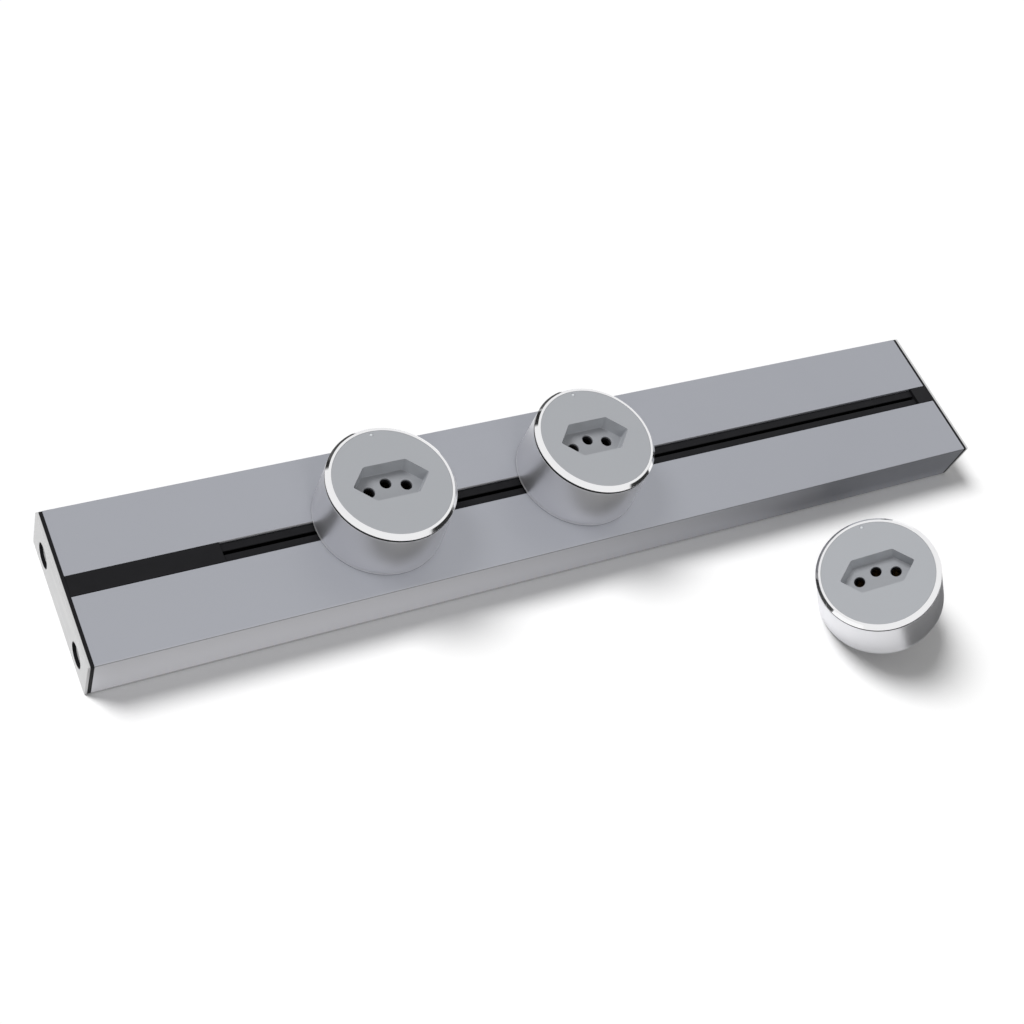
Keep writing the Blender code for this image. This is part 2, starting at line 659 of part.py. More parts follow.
def contact_carrier(name, parent):
    """Base disc, neck and locking block in one moulding, with a channel for each contact."""
    profile = [
        (0.0, CARRIER_TOP),
        (FIT_RADIUS, CARRIER_TOP),
        (FIT_RADIUS, CARRIER_HEIGHT),
        (HUB_RADIUS, CARRIER_HEIGHT),
        (HUB_RADIUS, PAD_THICKNESS + RUNNING_GAP),
        (NECK_RADIUS, PAD_THICKNESS + RUNNING_GAP),
        (NECK_RADIUS, BLOCK_TOP - OVERLAP),
        (0.0, BLOCK_TOP - OVERLAP),
    ]
    carrier = keep(turned(name, profile, closed=False), "black_plastic", parent)
    half = BLOCK_WIDTH / 2
    lift = math.acos(half / BLOCK_RADIUS)
    outline = arc((0.0, 0.0), BLOCK_RADIUS, lift, math.pi - lift, CORNER_STEPS * 2)
    outline += arc((0.0, 0.0), BLOCK_RADIUS, math.pi + lift, math.tau - lift, CORNER_STEPS * 2)
    add(carrier, prism(f"{name}_block", [outline], BLOCK_BOTTOM, BLOCK_TOP), parent)
    thick = STRIP / 2 + CLEARANCE
    for word, side in (("live", 1), ("neutral", -1)):
        place = -side * RISER_PLACE
        channel = strip_outline(side, CARRIER_TOP + OVERLAP, BLOCK_RADIUS + OVERLAP, CLEARANCE)
        tool = prism(f"{name}_{word}_channel", [channel], place - thick, place + thick, "X")
        cut(carrier, tool, parent)
    wide = STRIP_WIDTH / 2 + CLEARANCE
    low = (-wide, EARTH_RISER_PLACE - thick, BLOCK_BOTTOM - OVERLAP)
    high = (wide, EARTH_RISER_PLACE + thick, CARRIER_TOP + OVERLAP)
    cut(carrier, box(f"{name}_earth_channel", low, high), parent)


def strip_outline(side, top, reach, grow):
    """Riser and tab of a line contact seen along the track, or with grow the channel for them."""
    half = STRIP_WIDTH / 2 + grow
    low = TAB_LEVEL - TAB_HEIGHT / 2 - grow
    high = TAB_LEVEL + TAB_HEIGHT / 2 + grow
    points = [(-half, top), (-half, low), (reach, low), (reach, high), (half, high), (half, top)]
    return points if side > 0 else mirrored(points)


def sleeve(name, place):
    """The round receptacle of one plug pin."""
    profile = [
        (SLEEVE_RADIUS, SLEEVE_TOP),
        (SLEEVE_RADIUS, SLEEVE_BOTTOM),
        (0.0, SLEEVE_BOTTOM),
        (0.0, SLEEVE_FLOOR),
        (SLEEVE_BORE_RADIUS, SLEEVE_FLOOR),
        (SLEEVE_BORE_RADIUS, SLEEVE_TOP),
    ]
    obj = turned(name, profile, closed=True, steps=SMALL_STEPS)
    obj.location = (*place, 0.0)
    return obj


def line_contact(name, word, side, parent):
    """Live or neutral contact: receptacle, riser through the neck and tab to the busbar."""
    pin = PIN_PLACES[word]
    contact = keep(sleeve(name, pin), "brass", parent)
    place = -side * RISER_PLACE
    reach = math.sqrt(TAB_REACH**2 - (RISER_PLACE + STRIP / 2) ** 2)
    outline = strip_outline(side, SLEEVE_FLOOR + CLEARANCE, reach, 0.0)
    strip = prism(f"{name}_strip", [outline], place - STRIP / 2, place + STRIP / 2, "X")
    add(contact, strip, parent)
    half = STRIP_WIDTH / 2 - CLEARANCE
    ends = sorted((pin[0], place))
    corners = (ends[0], -half, SLEEVE_BOTTOM), (ends[1], half, SLEEVE_FLOOR)
    add(contact, box(f"{name}_bridge", *corners), parent)


def earth_contact(name, parent):
    """Earth contact: receptacle, straight riser and a foot that wipes the earth strip."""
    pin = PIN_PLACES["earth"]
    contact = keep(sleeve(name, pin), "brass", parent)
    near = EARTH_RISER_PLACE - STRIP / 2
    far = EARTH_RISER_PLACE + STRIP / 2
    top = BLOCK_BOTTOM - CLEARANCE
    angle = [
        (far, SLEEVE_FLOOR),
        (near, SLEEVE_FLOOR),
        (near, top),
        (-EARTH_FOOT_REACH, top),
        (-EARTH_FOOT_REACH, top - EARTH_FOOT),
        (far, top - EARTH_FOOT),
    ]
    half = STRIP_WIDTH / 2
    add(contact, prism(f"{name}_riser", [angle], -half, half, "X"), parent)


def housing(name, parent):
    """The round shell, slightly tapered, with a ledge over the carrier and one under the ring."""
    profile = [
        (HOUSING_TOP_RADIUS, HOUSING_TOP),
        (MODULE_RADIUS, HOUSING_BOTTOM),
        (HOUSING_INNER, HOUSING_BOTTOM),
        (HOUSING_INNER, LOWER_LEDGE),
        (LEDGE_RADIUS, LOWER_LEDGE),
        (LEDGE_RADIUS, LOWER_LEDGE + LEDGE_HEIGHT),
        (HOUSING_INNER, LOWER_LEDGE + LEDGE_HEIGHT),
        (HOUSING_INNER, UPPER_LEDGE - LEDGE_HEIGHT),
        (LEDGE_RADIUS, UPPER_LEDGE - LEDGE_HEIGHT),
        (LEDGE_RADIUS, UPPER_LEDGE),
        (HOUSING_INNER, UPPER_LEDGE),
        (HOUSING_INNER, HOUSING_TOP),
    ]
    keep(turned(name, profile), "silver_plastic", parent)


def trim_ring(name, parent):
    """The chromed ring round the face, with the spigot that seats it in the housing."""
    spigot = FIT_RADIUS - LEDGE_WIDTH
    profile = [
        (RING_EDGE + (RING_CROWN_RADIUS - RING_EDGE) / 2, RING_TOP),
        (RING_CROWN_RADIUS, FACE_HEIGHT),
        (HOUSING_TOP_RADIUS, RING_BOTTOM + RING_SKIRT),
        (HOUSING_TOP_RADIUS, RING_BOTTOM),
        (FIT_RADIUS, RING_BOTTOM),
        (FIT_RADIUS, RING_SPIGOT_BOTTOM),
        (spigot, RING_SPIGOT_BOTTOM),
        (spigot, RING_SEAT),
        (RING_EDGE, RING_SEAT),
        (RING_EDGE, FACE_HEIGHT),
    ]
    keep(turned(name, profile), "chrome", parent)


def face_plate(name, parent):
    """The socket's face with its plug recess, three pin holes and the hole of the lamp."""
    profile = [
        (0.0, FACE_HEIGHT),
        (FACE_RADIUS, FACE_HEIGHT),
        (FACE_RADIUS, FACE_HEIGHT - FACE_THICKNESS),
        (0.0, FACE_HEIGHT - FACE_THICKNESS),
    ]
    face = keep(turned(name, profile, closed=False), "face_plastic", parent)
    reach = 1 + 2 * WELL_WALL / WELL_WIDTH
    jacket = [(x * reach, y * reach + WELL_OFFSET) for x, y in hexagon()]
    outline = rounded(jacket, [WELL_CORNER + WELL_WALL] * len(jacket))
    add(face, prism(f"{name}_jacket", [outline], WELL_BOTTOM, FACE_HEIGHT - OVERLAP), parent)
    cut(face, recess(f"{name}_recess"), parent)
    for word, place in PIN_PLACES.items():
        hole = rod(f"{name}_{word}_hole", place, PIN_HOLE_RADIUS, WELL_BOTTOM - OVERLAP, FACE_HEIGHT)
        cut(face, hole, parent)
    window = rod(
        f"{name}_lamp_hole", (0.0, LAMP_PLACE), LAMP_RADIUS + CLEARANCE,
        FACE_HEIGHT - FACE_THICKNESS - OVERLAP, FACE_HEIGHT + OVERLAP,
    )
    cut(face, window, parent)


def contact_cover(name, parent):
    """The black plate between the plug recess and the contacts, with a hole over each receptacle."""
    outline = rounded(hexagon(), [WELL_CORNER] * 6)
    loops = [[(x, y + WELL_OFFSET) for x, y in outline]]
    loops += [circle(place, SLEEVE_BORE_RADIUS, HIDDEN_STEPS) for place in PIN_PLACES.values()]
    keep(prism(name, loops, COVER_BOTTOM, COVER_TOP), "black_plastic", parent)


def socket_module(word, pad_parent, parent):
    """All pieces of one module; the pad has its own parent because the rest turns on it."""
    guide_pad(f"{word}_guide_pad", pad_parent)
    contact_carrier(f"{word}_contact_carrier", parent)
    line_contact(f"{word}_live_contact", "live", 1, parent)
    line_contact(f"{word}_neutral_contact", "neutral", -1, parent)
    earth_contact(f"{word}_earth_contact", parent)
    housing(f"{word}_housing", parent)
    trim_ring(f"{word}_trim_ring", parent)
    face_plate(f"{word}_face_plate", parent)
    contact_cover(f"{word}_contact_cover", parent)
    bottom = FACE_HEIGHT - FACE_THICKNESS
    lens = rod(f"{word}_lamp_lens", (0.0, LAMP_PLACE), LAMP_RADIUS, bottom, FACE_HEIGHT)
    keep(lens, "clear_lens", parent)


def axis_empty(name, location, rotation, parent=None):
    """A plain axis that carries the pieces of a module."""
    empty = bpy.data.objects.new(name, None)
    PARTS.objects.link(empty)
    empty.location = location
    empty.rotation_euler = rotation
    empty.parent = parent
    return empty


track_extrusion()
liners()
busbars()
dust_lips()
slot_cover("feed_cover", -PROFILE_END, -PROFILE_END + FEED_COVER_LENGTH)
slot_cover("end_cover", PROFILE_END - END_COVER_LENGTH, PROFILE_END)
feed_terminal()
track_end(-1, "left")
track_end(1, "right")

for number, place in enumerate(SOCKET_PLACES):
    slide = axis_empty(f"slide_{number + 1}", (place, 0.0, MODULE_BASE), (0.0, 0.0, 0.0))
    turn_axis = axis_empty(f"turn_{number + 1}", (0.0, 0.0, 0.0), (0.0, 0.0, 0.0), slide)
    socket_module(f"socket_{number + 1}", slide, turn_axis)

# The loose module rests on the rim of its pad and the edge of its block, the pad still unlocked
lowest = MODULE_RADIUS * math.sin(LEAN)
rest = axis_empty("rest_3", (LOOSE_X, LOOSE_Y, lowest), (0.0, -LEAN, LOOSE_HEADING))
unlocked = axis_empty("unlocked_3", (0.0, 0.0, 0.0), (0.0, 0.0, math.pi / 2), rest)
socket_module("socket_3", unlocked, rest)
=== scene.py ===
import math

import bpy
from mathutils import Euler, Matrix, Vector


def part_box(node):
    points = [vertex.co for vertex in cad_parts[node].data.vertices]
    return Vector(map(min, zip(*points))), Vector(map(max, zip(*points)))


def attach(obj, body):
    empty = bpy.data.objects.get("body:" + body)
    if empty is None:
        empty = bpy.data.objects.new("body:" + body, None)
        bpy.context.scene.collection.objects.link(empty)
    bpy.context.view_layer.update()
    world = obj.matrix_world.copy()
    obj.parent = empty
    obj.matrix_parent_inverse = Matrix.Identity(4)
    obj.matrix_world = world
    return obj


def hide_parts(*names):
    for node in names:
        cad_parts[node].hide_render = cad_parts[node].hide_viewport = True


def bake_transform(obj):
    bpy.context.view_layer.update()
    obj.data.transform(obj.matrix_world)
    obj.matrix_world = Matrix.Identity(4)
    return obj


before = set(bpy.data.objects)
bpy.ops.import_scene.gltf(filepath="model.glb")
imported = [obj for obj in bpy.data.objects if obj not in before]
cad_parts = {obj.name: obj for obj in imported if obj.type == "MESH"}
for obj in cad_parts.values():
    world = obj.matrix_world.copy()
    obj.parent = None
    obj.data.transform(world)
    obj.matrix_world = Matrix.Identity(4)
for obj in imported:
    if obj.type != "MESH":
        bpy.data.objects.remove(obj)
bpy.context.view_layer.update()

# Power track socket. Lengths are in millimetres, but for the size of the floor and the places and
# size of the lamps, which are in metres as the meshes are.
mm = 0.001
print("the frame is loaded:", len(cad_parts), "nodes")


def deselectAll():
    if bpy.context.object and bpy.context.object.mode != "OBJECT":
        bpy.ops.object.mode_set(mode="OBJECT")
    bpy.ops.object.select_all(action="DESELECT")


def pickOnly(piece):
    deselectAll()
    piece.select_set(True)
    bpy.context.view_layer.objects.active = piece


def applyStep(piece, kind, **settings):
    pickOnly(piece)
    step = piece.modifiers.new(kind.lower(), kind)
    for key, value in settings.items():
        setattr(step, key, value)
    bpy.ops.object.modifier_apply(modifier=step.name)


def softCorners(corners, steps=4, closed=True):
    # each (across, up, radius) corner becomes an arc, or stays sharp where the radius is 0
    points = []
    for i, (across, up, radius) in enumerate(corners):
        if radius == 0 or (not closed and i in (0, len(corners) - 1)):
            points.append((across, up))
            continue
        corner = Vector((across, up))
        before = (Vector(corners[i - 1][:2]) - corner).normalized()
        after = (Vector(corners[(i + 1) % len(corners)][:2]) - corner).normalized()
        half = before.angle(after) / 2
        centre = corner + (before + after).normalized() * (radius / math.sin(half))
        start = corner + before * (radius / math.tan(half)) - centre
        end = corner + after * (radius / math.tan(half)) - centre
        first = math.atan2(start.y, start.x)
        sweep = (math.atan2(end.y, end.x) - first + math.pi) % math.tau - math.pi
        for k in range(steps + 1):
            angle = first + sweep * k / steps
            points.append((centre.x + radius * math.cos(angle), centre.y + radius * math.sin(angle)))
    return points


def turnOnAxis(name, outline, closed=True, segments=128):
    # a circle of edges, extruded and resized from one (radius, height) of the outline to the next
    deselectAll()
    radius, height = outline[0]
    bpy.ops.mesh.primitive_circle_add(
        vertices=segments, radius=radius * mm, fill_type="NOTHING", location=(0, 0, height * mm)
    )
    piece = bpy.context.object
    piece.name = name
    bpy.ops.object.mode_set(mode="EDIT")
    bpy.ops.mesh.select_all(action="SELECT")
    for nextRadius, nextHeight in outline[1:] + (outline[:1] if closed else []):
        rise = (0, 0, (nextHeight - height) * mm)
        bpy.ops.mesh.extrude_edges_move(TRANSFORM_OT_translate={"value": rise})
        grow = nextRadius / radius
        bpy.ops.transform.resize(value=(grow, grow, 1), center_override=(0, 0, 0))
        radius, height = nextRadius, nextHeight
    bpy.ops.mesh.select_all(action="SELECT")
    if closed:
        bpy.ops.mesh.remove_doubles(threshold=0.002 * mm)
    else:
        bpy.ops.mesh.fill_holes(sides=0)
    return settle(piece)


def settle(piece):
    # faces point outwards, and the place goes into the mesh
    bpy.ops.mesh.select_all(action="SELECT")
    bpy.ops.mesh.normals_make_consistent(inside=False)
    bpy.ops.object.mode_set(mode="OBJECT")
    bpy.ops.object.transform_apply(location=True, rotation=True, scale=True)
    return piece


def drawAlongTrack(name, outline, low, high):
    # a section of (across, up) points, drawn at one end and extruded along the track
    deselectAll()
    bpy.ops.mesh.primitive_circle_add(vertices=len(outline), radius=mm, fill_type="NGON")
    piece = bpy.context.object
    piece.name = name
    for vertex, (across, up) in zip(piece.data.vertices, outline):
        vertex.co = (low * mm, across * mm, up * mm)
    bpy.ops.object.mode_set(mode="EDIT")
    bpy.ops.mesh.select_all(action="SELECT")
    bpy.ops.mesh.extrude_region_move(TRANSFORM_OT_translate={"value": ((high - low) * mm, 0, 0)})
    return settle(piece)


def addBlock(name, low, high):
    deselectAll()
    middle = [(a + b) / 2 * mm for a, b in zip(low, high)]
    bpy.ops.mesh.primitive_cube_add(size=1, location=middle)
    piece = bpy.context.object
    piece.name = name
    piece.scale = [(b - a) * mm for a, b in zip(low, high)]
    bpy.ops.object.transform_apply(location=True, rotation=True, scale=True)
    return piece


def layAlongTrack(piece, across, up, facing=1):
    # turns a piece made on the Z axis to the track's direction, at its place in the end face
    piece.data.transform(Matrix.Rotation(facing * math.pi / 2, 4, "Y"))
    piece.data.transform(Matrix.Translation((0, across * mm, up * mm)))
    return piece


def carve(piece, tool, operation="DIFFERENCE"):
    applyStep(piece, "BOOLEAN", operation=operation, solver="EXACT", object=tool)
    bpy.data.objects.remove(tool, do_unlink=True)
    return piece


def softenEdges(piece, width, segments=3, angle=35):
    applyStep(
        piece, "BEVEL", width=width * mm, segments=segments, limit_method="ANGLE",
        angle_limit=math.radians(angle), miter_outer="MITER_ARC",
    )
    return piece


def shade(piece, angle=40):
    pickOnly(piece)
    bpy.ops.object.shade_smooth_by_angle(angle=math.radians(angle))
    applyStep(piece, "WEIGHTED_NORMAL", keep_sharp=True, weight=100)
    return piece


def groupOf(name, inputs, outputs):
    group = bpy.data.node_groups.new(name, "ShaderNodeTree")
    for label, kind, value in inputs:
        socket = group.interface.new_socket(name=label, in_out="INPUT", socket_type=kind)
        socket.default_value = value
    for label in outputs:
        group.interface.new_socket(name=label, in_out="OUTPUT", socket_type="NodeSocketFloat")
    start = group.nodes.new("NodeGroupInput")
    end = group.nodes.new("NodeGroupOutput")
    return group, start, end


def node(tree, kind, **settings):
    made = tree.nodes.new(kind)
    for key, value in settings.items():
        setattr(made, key, value)
    return made


# Fine grain of a surface, in grains per metre, and the slow clouding of its tone
grainGroup, start, end = groupOf(
    "surfaceGrain",
    [
        ("Grains", "NodeSocketFloat", 2500.0),
        ("Clouds", "NodeSocketFloat", 18.0),
        ("Stretch", "NodeSocketVector", (1.0, 1.0, 1.0)),
    ],
    ["Grain", "Cloud"],
)
place = node(grainGroup, "ShaderNodeTexCoord")
stretch = node(grainGroup, "ShaderNodeVectorMath", operation="MULTIPLY")
fine = node(grainGroup, "ShaderNodeTexNoise")
fine.inputs["Detail"].default_value = 3.0
fine.inputs["Roughness"].default_value = 0.6
cloud = node(grainGroup, "ShaderNodeTexNoise")
cloud.inputs["Detail"].default_value = 2.0
link = grainGroup.links.new
link(place.outputs["Object"], stretch.inputs[0])
link(start.outputs["Stretch"], stretch.inputs[1])
link(stretch.outputs["Vector"], fine.inputs["Vector"])
link(start.outputs["Grains"], fine.inputs["Scale"])
link(place.outputs["Object"], cloud.inputs["Vector"])
link(start.outputs["Clouds"], cloud.inputs["Scale"])
link(fine.outputs["Fac"], end.inputs["Grain"])
link(cloud.outputs["Fac"], end.inputs["Cloud"])

# Marks of handling: soft smudges, and hairlines that cross each other
marksGroup, start, end = groupOf(
    "handlingMarks",
    [("Smudges", "NodeSocketFloat", 45.0), ("Hairlines", "NodeSocketFloat", 130.0)],
    ["Smudge", "Hairline"],
)
place = node(marksGroup, "ShaderNodeTexCoord")
blot = node(marksGroup, "ShaderNodeTexNoise")
blot.inputs["Detail"].default_value = 5.0
blot.inputs["Distortion"].default_value = 0.8
bent = node(marksGroup, "ShaderNodeTexNoise")
bent.inputs["Scale"].default_value = 22.0
shift = node(marksGroup, "ShaderNodeVectorMath", operation="MULTIPLY_ADD")
shift.inputs[1].default_value = (0.05, 0.05, 0.05)
cells = node(marksGroup, "ShaderNodeTexVoronoi", feature="DISTANCE_TO_EDGE")
narrow = node(marksGroup, "ShaderNodeMapRange", interpolation_type="SMOOTHSTEP")
narrow.inputs["From Max"].default_value = 0.012
narrow.inputs["To Min"].default_value = 1.0
narrow.inputs["To Max"].default_value = 0.0
sparse = node(marksGroup, "ShaderNodeMapRange", interpolation_type="SMOOTHSTEP")
sparse.inputs["From Min"].default_value = 0.55
sparse.inputs["From Max"].default_value = 0.75
both = node(marksGroup, "ShaderNodeMath", operation="MULTIPLY")
link = marksGroup.links.new
link(place.outputs["Object"], blot.inputs["Vector"])
link(start.outputs["Smudges"], blot.inputs["Scale"])
link(place.outputs["Object"], bent.inputs["Vector"])
link(bent.outputs["Color"], shift.inputs[0])
link(place.outputs["Object"], shift.inputs[2])
link(shift.outputs["Vector"], cells.inputs["Vector"])
link(start.outputs["Hairlines"], cells.inputs["Scale"])
link(cells.outputs["Distance"], narrow.inputs["Value"])
link(blot.outputs["Fac"], sparse.inputs["Value"])
link(narrow.outputs["Result"], both.inputs[0])
link(sparse.outputs["Result"], both.inputs[1])
link(blot.outputs["Fac"], end.inputs["Smudge"])
link(both.outputs["Value"], end.inputs["Hairline"])

# Rubbed edges with a painted highlight: where the surface is convex, broken up by a fine noise
rubAndHighlightGroup, start, end = groupOf(
    "edgeRub", [("From", "NodeSocketFloat", 0.53), ("To", "NodeSocketFloat", 0.60)], ["Rub"]
)
place = node(rubAndHighlightGroup, "ShaderNodeTexCoord")
form = node(rubAndHighlightGroup, "ShaderNodeNewGeometry")
patch = node(rubAndHighlightGroup, "ShaderNodeTexNoise")
patch.inputs["Scale"].default_value = 160.0
patch.inputs["Detail"].default_value = 4.0
edge = node(rubAndHighlightGroup, "ShaderNodeMapRange", interpolation_type="SMOOTHSTEP")
broken = node(rubAndHighlightGroup, "ShaderNodeMath", operation="MULTIPLY")
link = rubAndHighlightGroup.links.new
link(place.outputs["Object"], patch.inputs["Vector"])
link(form.outputs["Pointiness"], edge.inputs["Value"])
link(start.outputs["From"], edge.inputs["From Min"])
link(start.outputs["To"], edge.inputs["From Max"])
link(edge.outputs["Result"], broken.inputs[0])
link(patch.outputs["Fac"], broken.inputs[1])
link(broken.outputs["Value"], end.inputs["Rub"])

# Painted shade on the rounded edges of a drawn profile: where the surface faces neither straight up nor
# sideways
paintedEdgeShadeGroup, start, end = groupOf("profileFillet", [("Level", "NodeSocketFloat", 0.95)], ["Fillet"])
form = node(paintedEdgeShadeGroup, "ShaderNodeNewGeometry")
parts = node(paintedEdgeShadeGroup, "ShaderNodeSeparateXYZ")
size = node(paintedEdgeShadeGroup, "ShaderNodeMath", operation="ABSOLUTE")
tilted = node(paintedEdgeShadeGroup, "ShaderNodeMapRange", interpolation_type="SMOOTHSTEP")
tilted.inputs["From Min"].default_value = 0.05
tilted.inputs["From Max"].default_value = 0.30
notFlat = node(paintedEdgeShadeGroup, "ShaderNodeMath", operation="LESS_THAN")
both = node(paintedEdgeShadeGroup, "ShaderNodeMath", operation="MULTIPLY")
link = paintedEdgeShadeGroup.links.new
link(form.outputs["Normal"], parts.inputs["Vector"])
link(parts.outputs["Z"], size.inputs[0])
link(size.outputs["Value"], tilted.inputs["Value"])
link(size.outputs["Value"], notFlat.inputs[0])
link(start.outputs["Level"], notFlat.inputs[1])
link(tilted.outputs["Result"], both.inputs[0])
link(notFlat.outputs["Value"], both.inputs[1])
link(both.outputs["Value"], end.inputs["Fillet"])
print("the shared effects are made")

# Colour and the colour of its clouds, both linear; grains per metre; bump in millimetres
finishes = {
    "anodisedTrack": {
        "colour": (0.352, 0.362, 0.398), "clouded": (0.344, 0.354, 0.390), "metallic": 0.55,
        "roughness": 0.38, "spread": 0.02, "grains": 2600, "stretch": (0.02, 1.0, 1.0),
        "bump": 0.004, "hairline": 0.10,
        # painted shade colour for the rounded edges
        "fillet": (0.17, 0.175, 0.19),
    },
    "paleEnd": {
        "colour": (0.56, 0.56, 0.56), "clouded": (0.53, 0.53, 0.535), "metallic": 0.30,
        "roughness": 0.40, "spread": 0.08, "grains": 3200,
        "bump": 0.003, "rub": 0.25, "rubbedAndHighlit": (0.82, 0.82, 0.82), "hairline": 0.08,
    },
    "blackCap": {
        "colour": (0.008, 0.008, 0.009), "clouded": (0.010, 0.010, 0.011), "metallic": 0.0,
        "specular": 0.08, "roughness": 0.42, "spread": 0.10, "grains": 3600,
        "bump": 0.010, "rub": 0.25, "rubbedAndHighlit": (0.05, 0.05, 0.055), "hairline": 0.15,
    },
    "blackLip": {
        "colour": (0.007, 0.007, 0.008), "clouded": (0.009, 0.009, 0.010), "metallic": 0.0,
        "specular": 0.08, "roughness": 0.55, "spread": 0.12, "grains": 2400, "stretch": (0.15, 1.0, 1.0),
        "bump": 0.012, "rub": 0.20, "rubbedAndHighlit": (0.035, 0.035, 0.038),
    },
    "silverShell": {
        "colour": (0.79, 0.79, 0.81), "clouded": (0.765, 0.765, 0.79), "metallic": 0.94,
        "roughness": 0.38, "spread": 0.03, "grains": 4200,
        "bump": 0.0015, "rub": 0.15, "rubbedAndHighlit": (0.78, 0.78, 0.80), "hairline": 0.10,
    },
    "satinFace": {
        "colour": (0.355, 0.366, 0.386), "clouded": (0.342, 0.353, 0.373), "metallic": 0.25,
        "roughness": 0.40, "spread": 0.06, "grains": 3800,
        "bump": 0.004, "hairline": 0.08,
        # painted shading of the recess: the darker floor colour, pushed the other way for lighter walls
        "paintedRecessShading": (0.300, 0.309, 0.327),
    },
    "chromeRing": {
        "colour": (0.95, 0.95, 0.96), "clouded": (0.92, 0.92, 0.93), "metallic": 1.0,
        "roughness": 0.07, "spread": 0.03, "grains": 900,
        "bump": 0.0002, "hairline": 0.25,
    },
    "whiteLiner": {
        "colour": (0.74, 0.74, 0.72), "clouded": (0.68, 0.68, 0.65), "metallic": 0.0,
        "roughness": 0.48, "spread": 0.08, "grains": 2600, "stretch": (0.1, 1.0, 1.0),
        "bump": 0.006, "rub": 0.2, "rubbedAndHighlit": (0.8, 0.8, 0.78), "hairline": 0.05,
    },
    "copperBar": {
        "colour": (0.72, 0.33, 0.19), "clouded": (0.55, 0.22, 0.12), "metallic": 1.0,
        "roughness": 0.28, "spread": 0.12, "grains": 3000, "stretch": (0.02, 1.0, 1.0),
        "bump": 0.004, "rub": 0.2, "rubbedAndHighlit": (0.85, 0.48, 0.32), "hairline": 0.2,
    },
    # painted shade: the brass is coloured much darker than brass, so the pin holes read dark
    "shadedBrassSleeve": {
        "colour": (0.24, 0.19, 0.11), "clouded": (0.18, 0.14, 0.08), "metallic": 1.0,
        "roughness": 0.27, "spread": 0.10, "grains": 3000, "stretch": (1.0, 1.0, 0.2),
        "bump": 0.003, "rub": 0.2, "rubbedAndHighlit": (0.42, 0.34, 0.20), "hairline": 0.2,
    },
    "lampLens": {
        "colour": (0.54, 0.56, 0.58), "clouded": (0.50, 0.52, 0.54), "metallic": 0.0,
        "roughness": 0.12, "spread": 0.04, "grains": 5000,
        "bump": 0.001,
    },
}


def makeFinish(name, look):
    made = bpy.data.materials.new(name)
    made.use_nodes = True
    tree = made.node_tree
    link = tree.links.new
    shader = tree.nodes["Principled BSDF"]
    shader.inputs["Metallic"].default_value = look["metallic"]
    shader.inputs["Specular IOR Level"].default_value = look.get("specular", 0.5)
    grain = node(tree, "ShaderNodeGroup", node_tree=grainGroup)
    grain.inputs["Grains"].default_value = look["grains"]
    grain.inputs["Stretch"].default_value = look.get("stretch", (1.0, 1.0, 1.0))
    marks = node(tree, "ShaderNodeGroup", node_tree=marksGroup)
    tone = node(tree, "ShaderNodeMix", data_type="RGBA")
    tone.inputs["A"].default_value = (*look["colour"], 1)
    tone.inputs["B"].default_value = (*look["clouded"], 1)
    link(grain.outputs["Cloud"], tone.inputs["Factor"])
    colour = tone
    # convex edges move towards a second colour: partly rubbed wear, partly a painted highlight
    if "rub" in look:
        rub = node(tree, "ShaderNodeGroup", node_tree=rubAndHighlightGroup)
        amount = node(tree, "ShaderNodeMath", operation="MULTIPLY")
        amount.inputs[1].default_value = look["rub"]
        colour = node(tree, "ShaderNodeMix", data_type="RGBA")
        colour.inputs["B"].default_value = (*look["rubbedAndHighlit"], 1)
        link(rub.outputs["Rub"], amount.inputs[0])
        link(amount.outputs["Value"], colour.inputs["Factor"])
        link(tone.outputs["Result"], colour.inputs["A"])
    if "fillet" in look:
        # painted shade: the drawn edges are coloured darker than the flats
        edgeShade = node(tree, "ShaderNodeGroup", node_tree=paintedEdgeShadeGroup)
        flat = colour
        colour = node(tree, "ShaderNodeMix", data_type="RGBA")
        colour.inputs["B"].default_value = (*look["fillet"], 1)
        link(edgeShade.outputs["Fillet"], colour.inputs["Factor"])
        link(flat.outputs["Result"], colour.inputs["A"])
    if "paintedRecessShading" in look:
        # painted shade and light: the recess floor of a face plate is coloured darker, its walls are
        # coloured lighter
        paintedShadingMask = node(tree, "ShaderNodeAttribute", attribute_name="paintedRecessShading")
        rim = colour
        colour = node(tree, "ShaderNodeMix", data_type="RGBA", clamp_factor=False)
        colour.inputs["B"].default_value = (*look["paintedRecessShading"], 1)
        link(paintedShadingMask.outputs["Fac"], colour.inputs["Factor"])
        link(rim.outputs["Result"], colour.inputs["A"])
    link(colour.outputs["Result"], shader.inputs["Base Color"])
    gloss = node(tree, "ShaderNodeMapRange")
    gloss.inputs["From Min"].default_value = 0.3
    gloss.inputs["From Max"].default_value = 0.7
    gloss.inputs["To Min"].default_value = look["roughness"] - look["spread"] / 2
    gloss.inputs["To Max"].default_value = look["roughness"] + look["spread"] / 2
    link(marks.outputs["Smudge"], gloss.inputs["Value"])
    if "hairline" in look:
        dull = node(tree, "ShaderNodeMath", operation="MULTIPLY_ADD")
        dull.inputs[1].default_value = look["hairline"]
        link(marks.outputs["Hairline"], dull.inputs[0])
        link(gloss.outputs["Result"], dull.inputs[2])
        link(dull.outputs["Value"], shader.inputs["Roughness"])
    else:
        link(gloss.outputs["Result"], shader.inputs["Roughness"])
    bump = node(tree, "ShaderNodeBump")
    bump.inputs["Strength"].default_value = 1.0
    bump.inputs["Distance"].default_value = look["bump"] * mm
    link(grain.outputs["Grain"], bump.inputs["Height"])
    link(bump.outputs["Normal"], shader.inputs["Normal"])
    return made


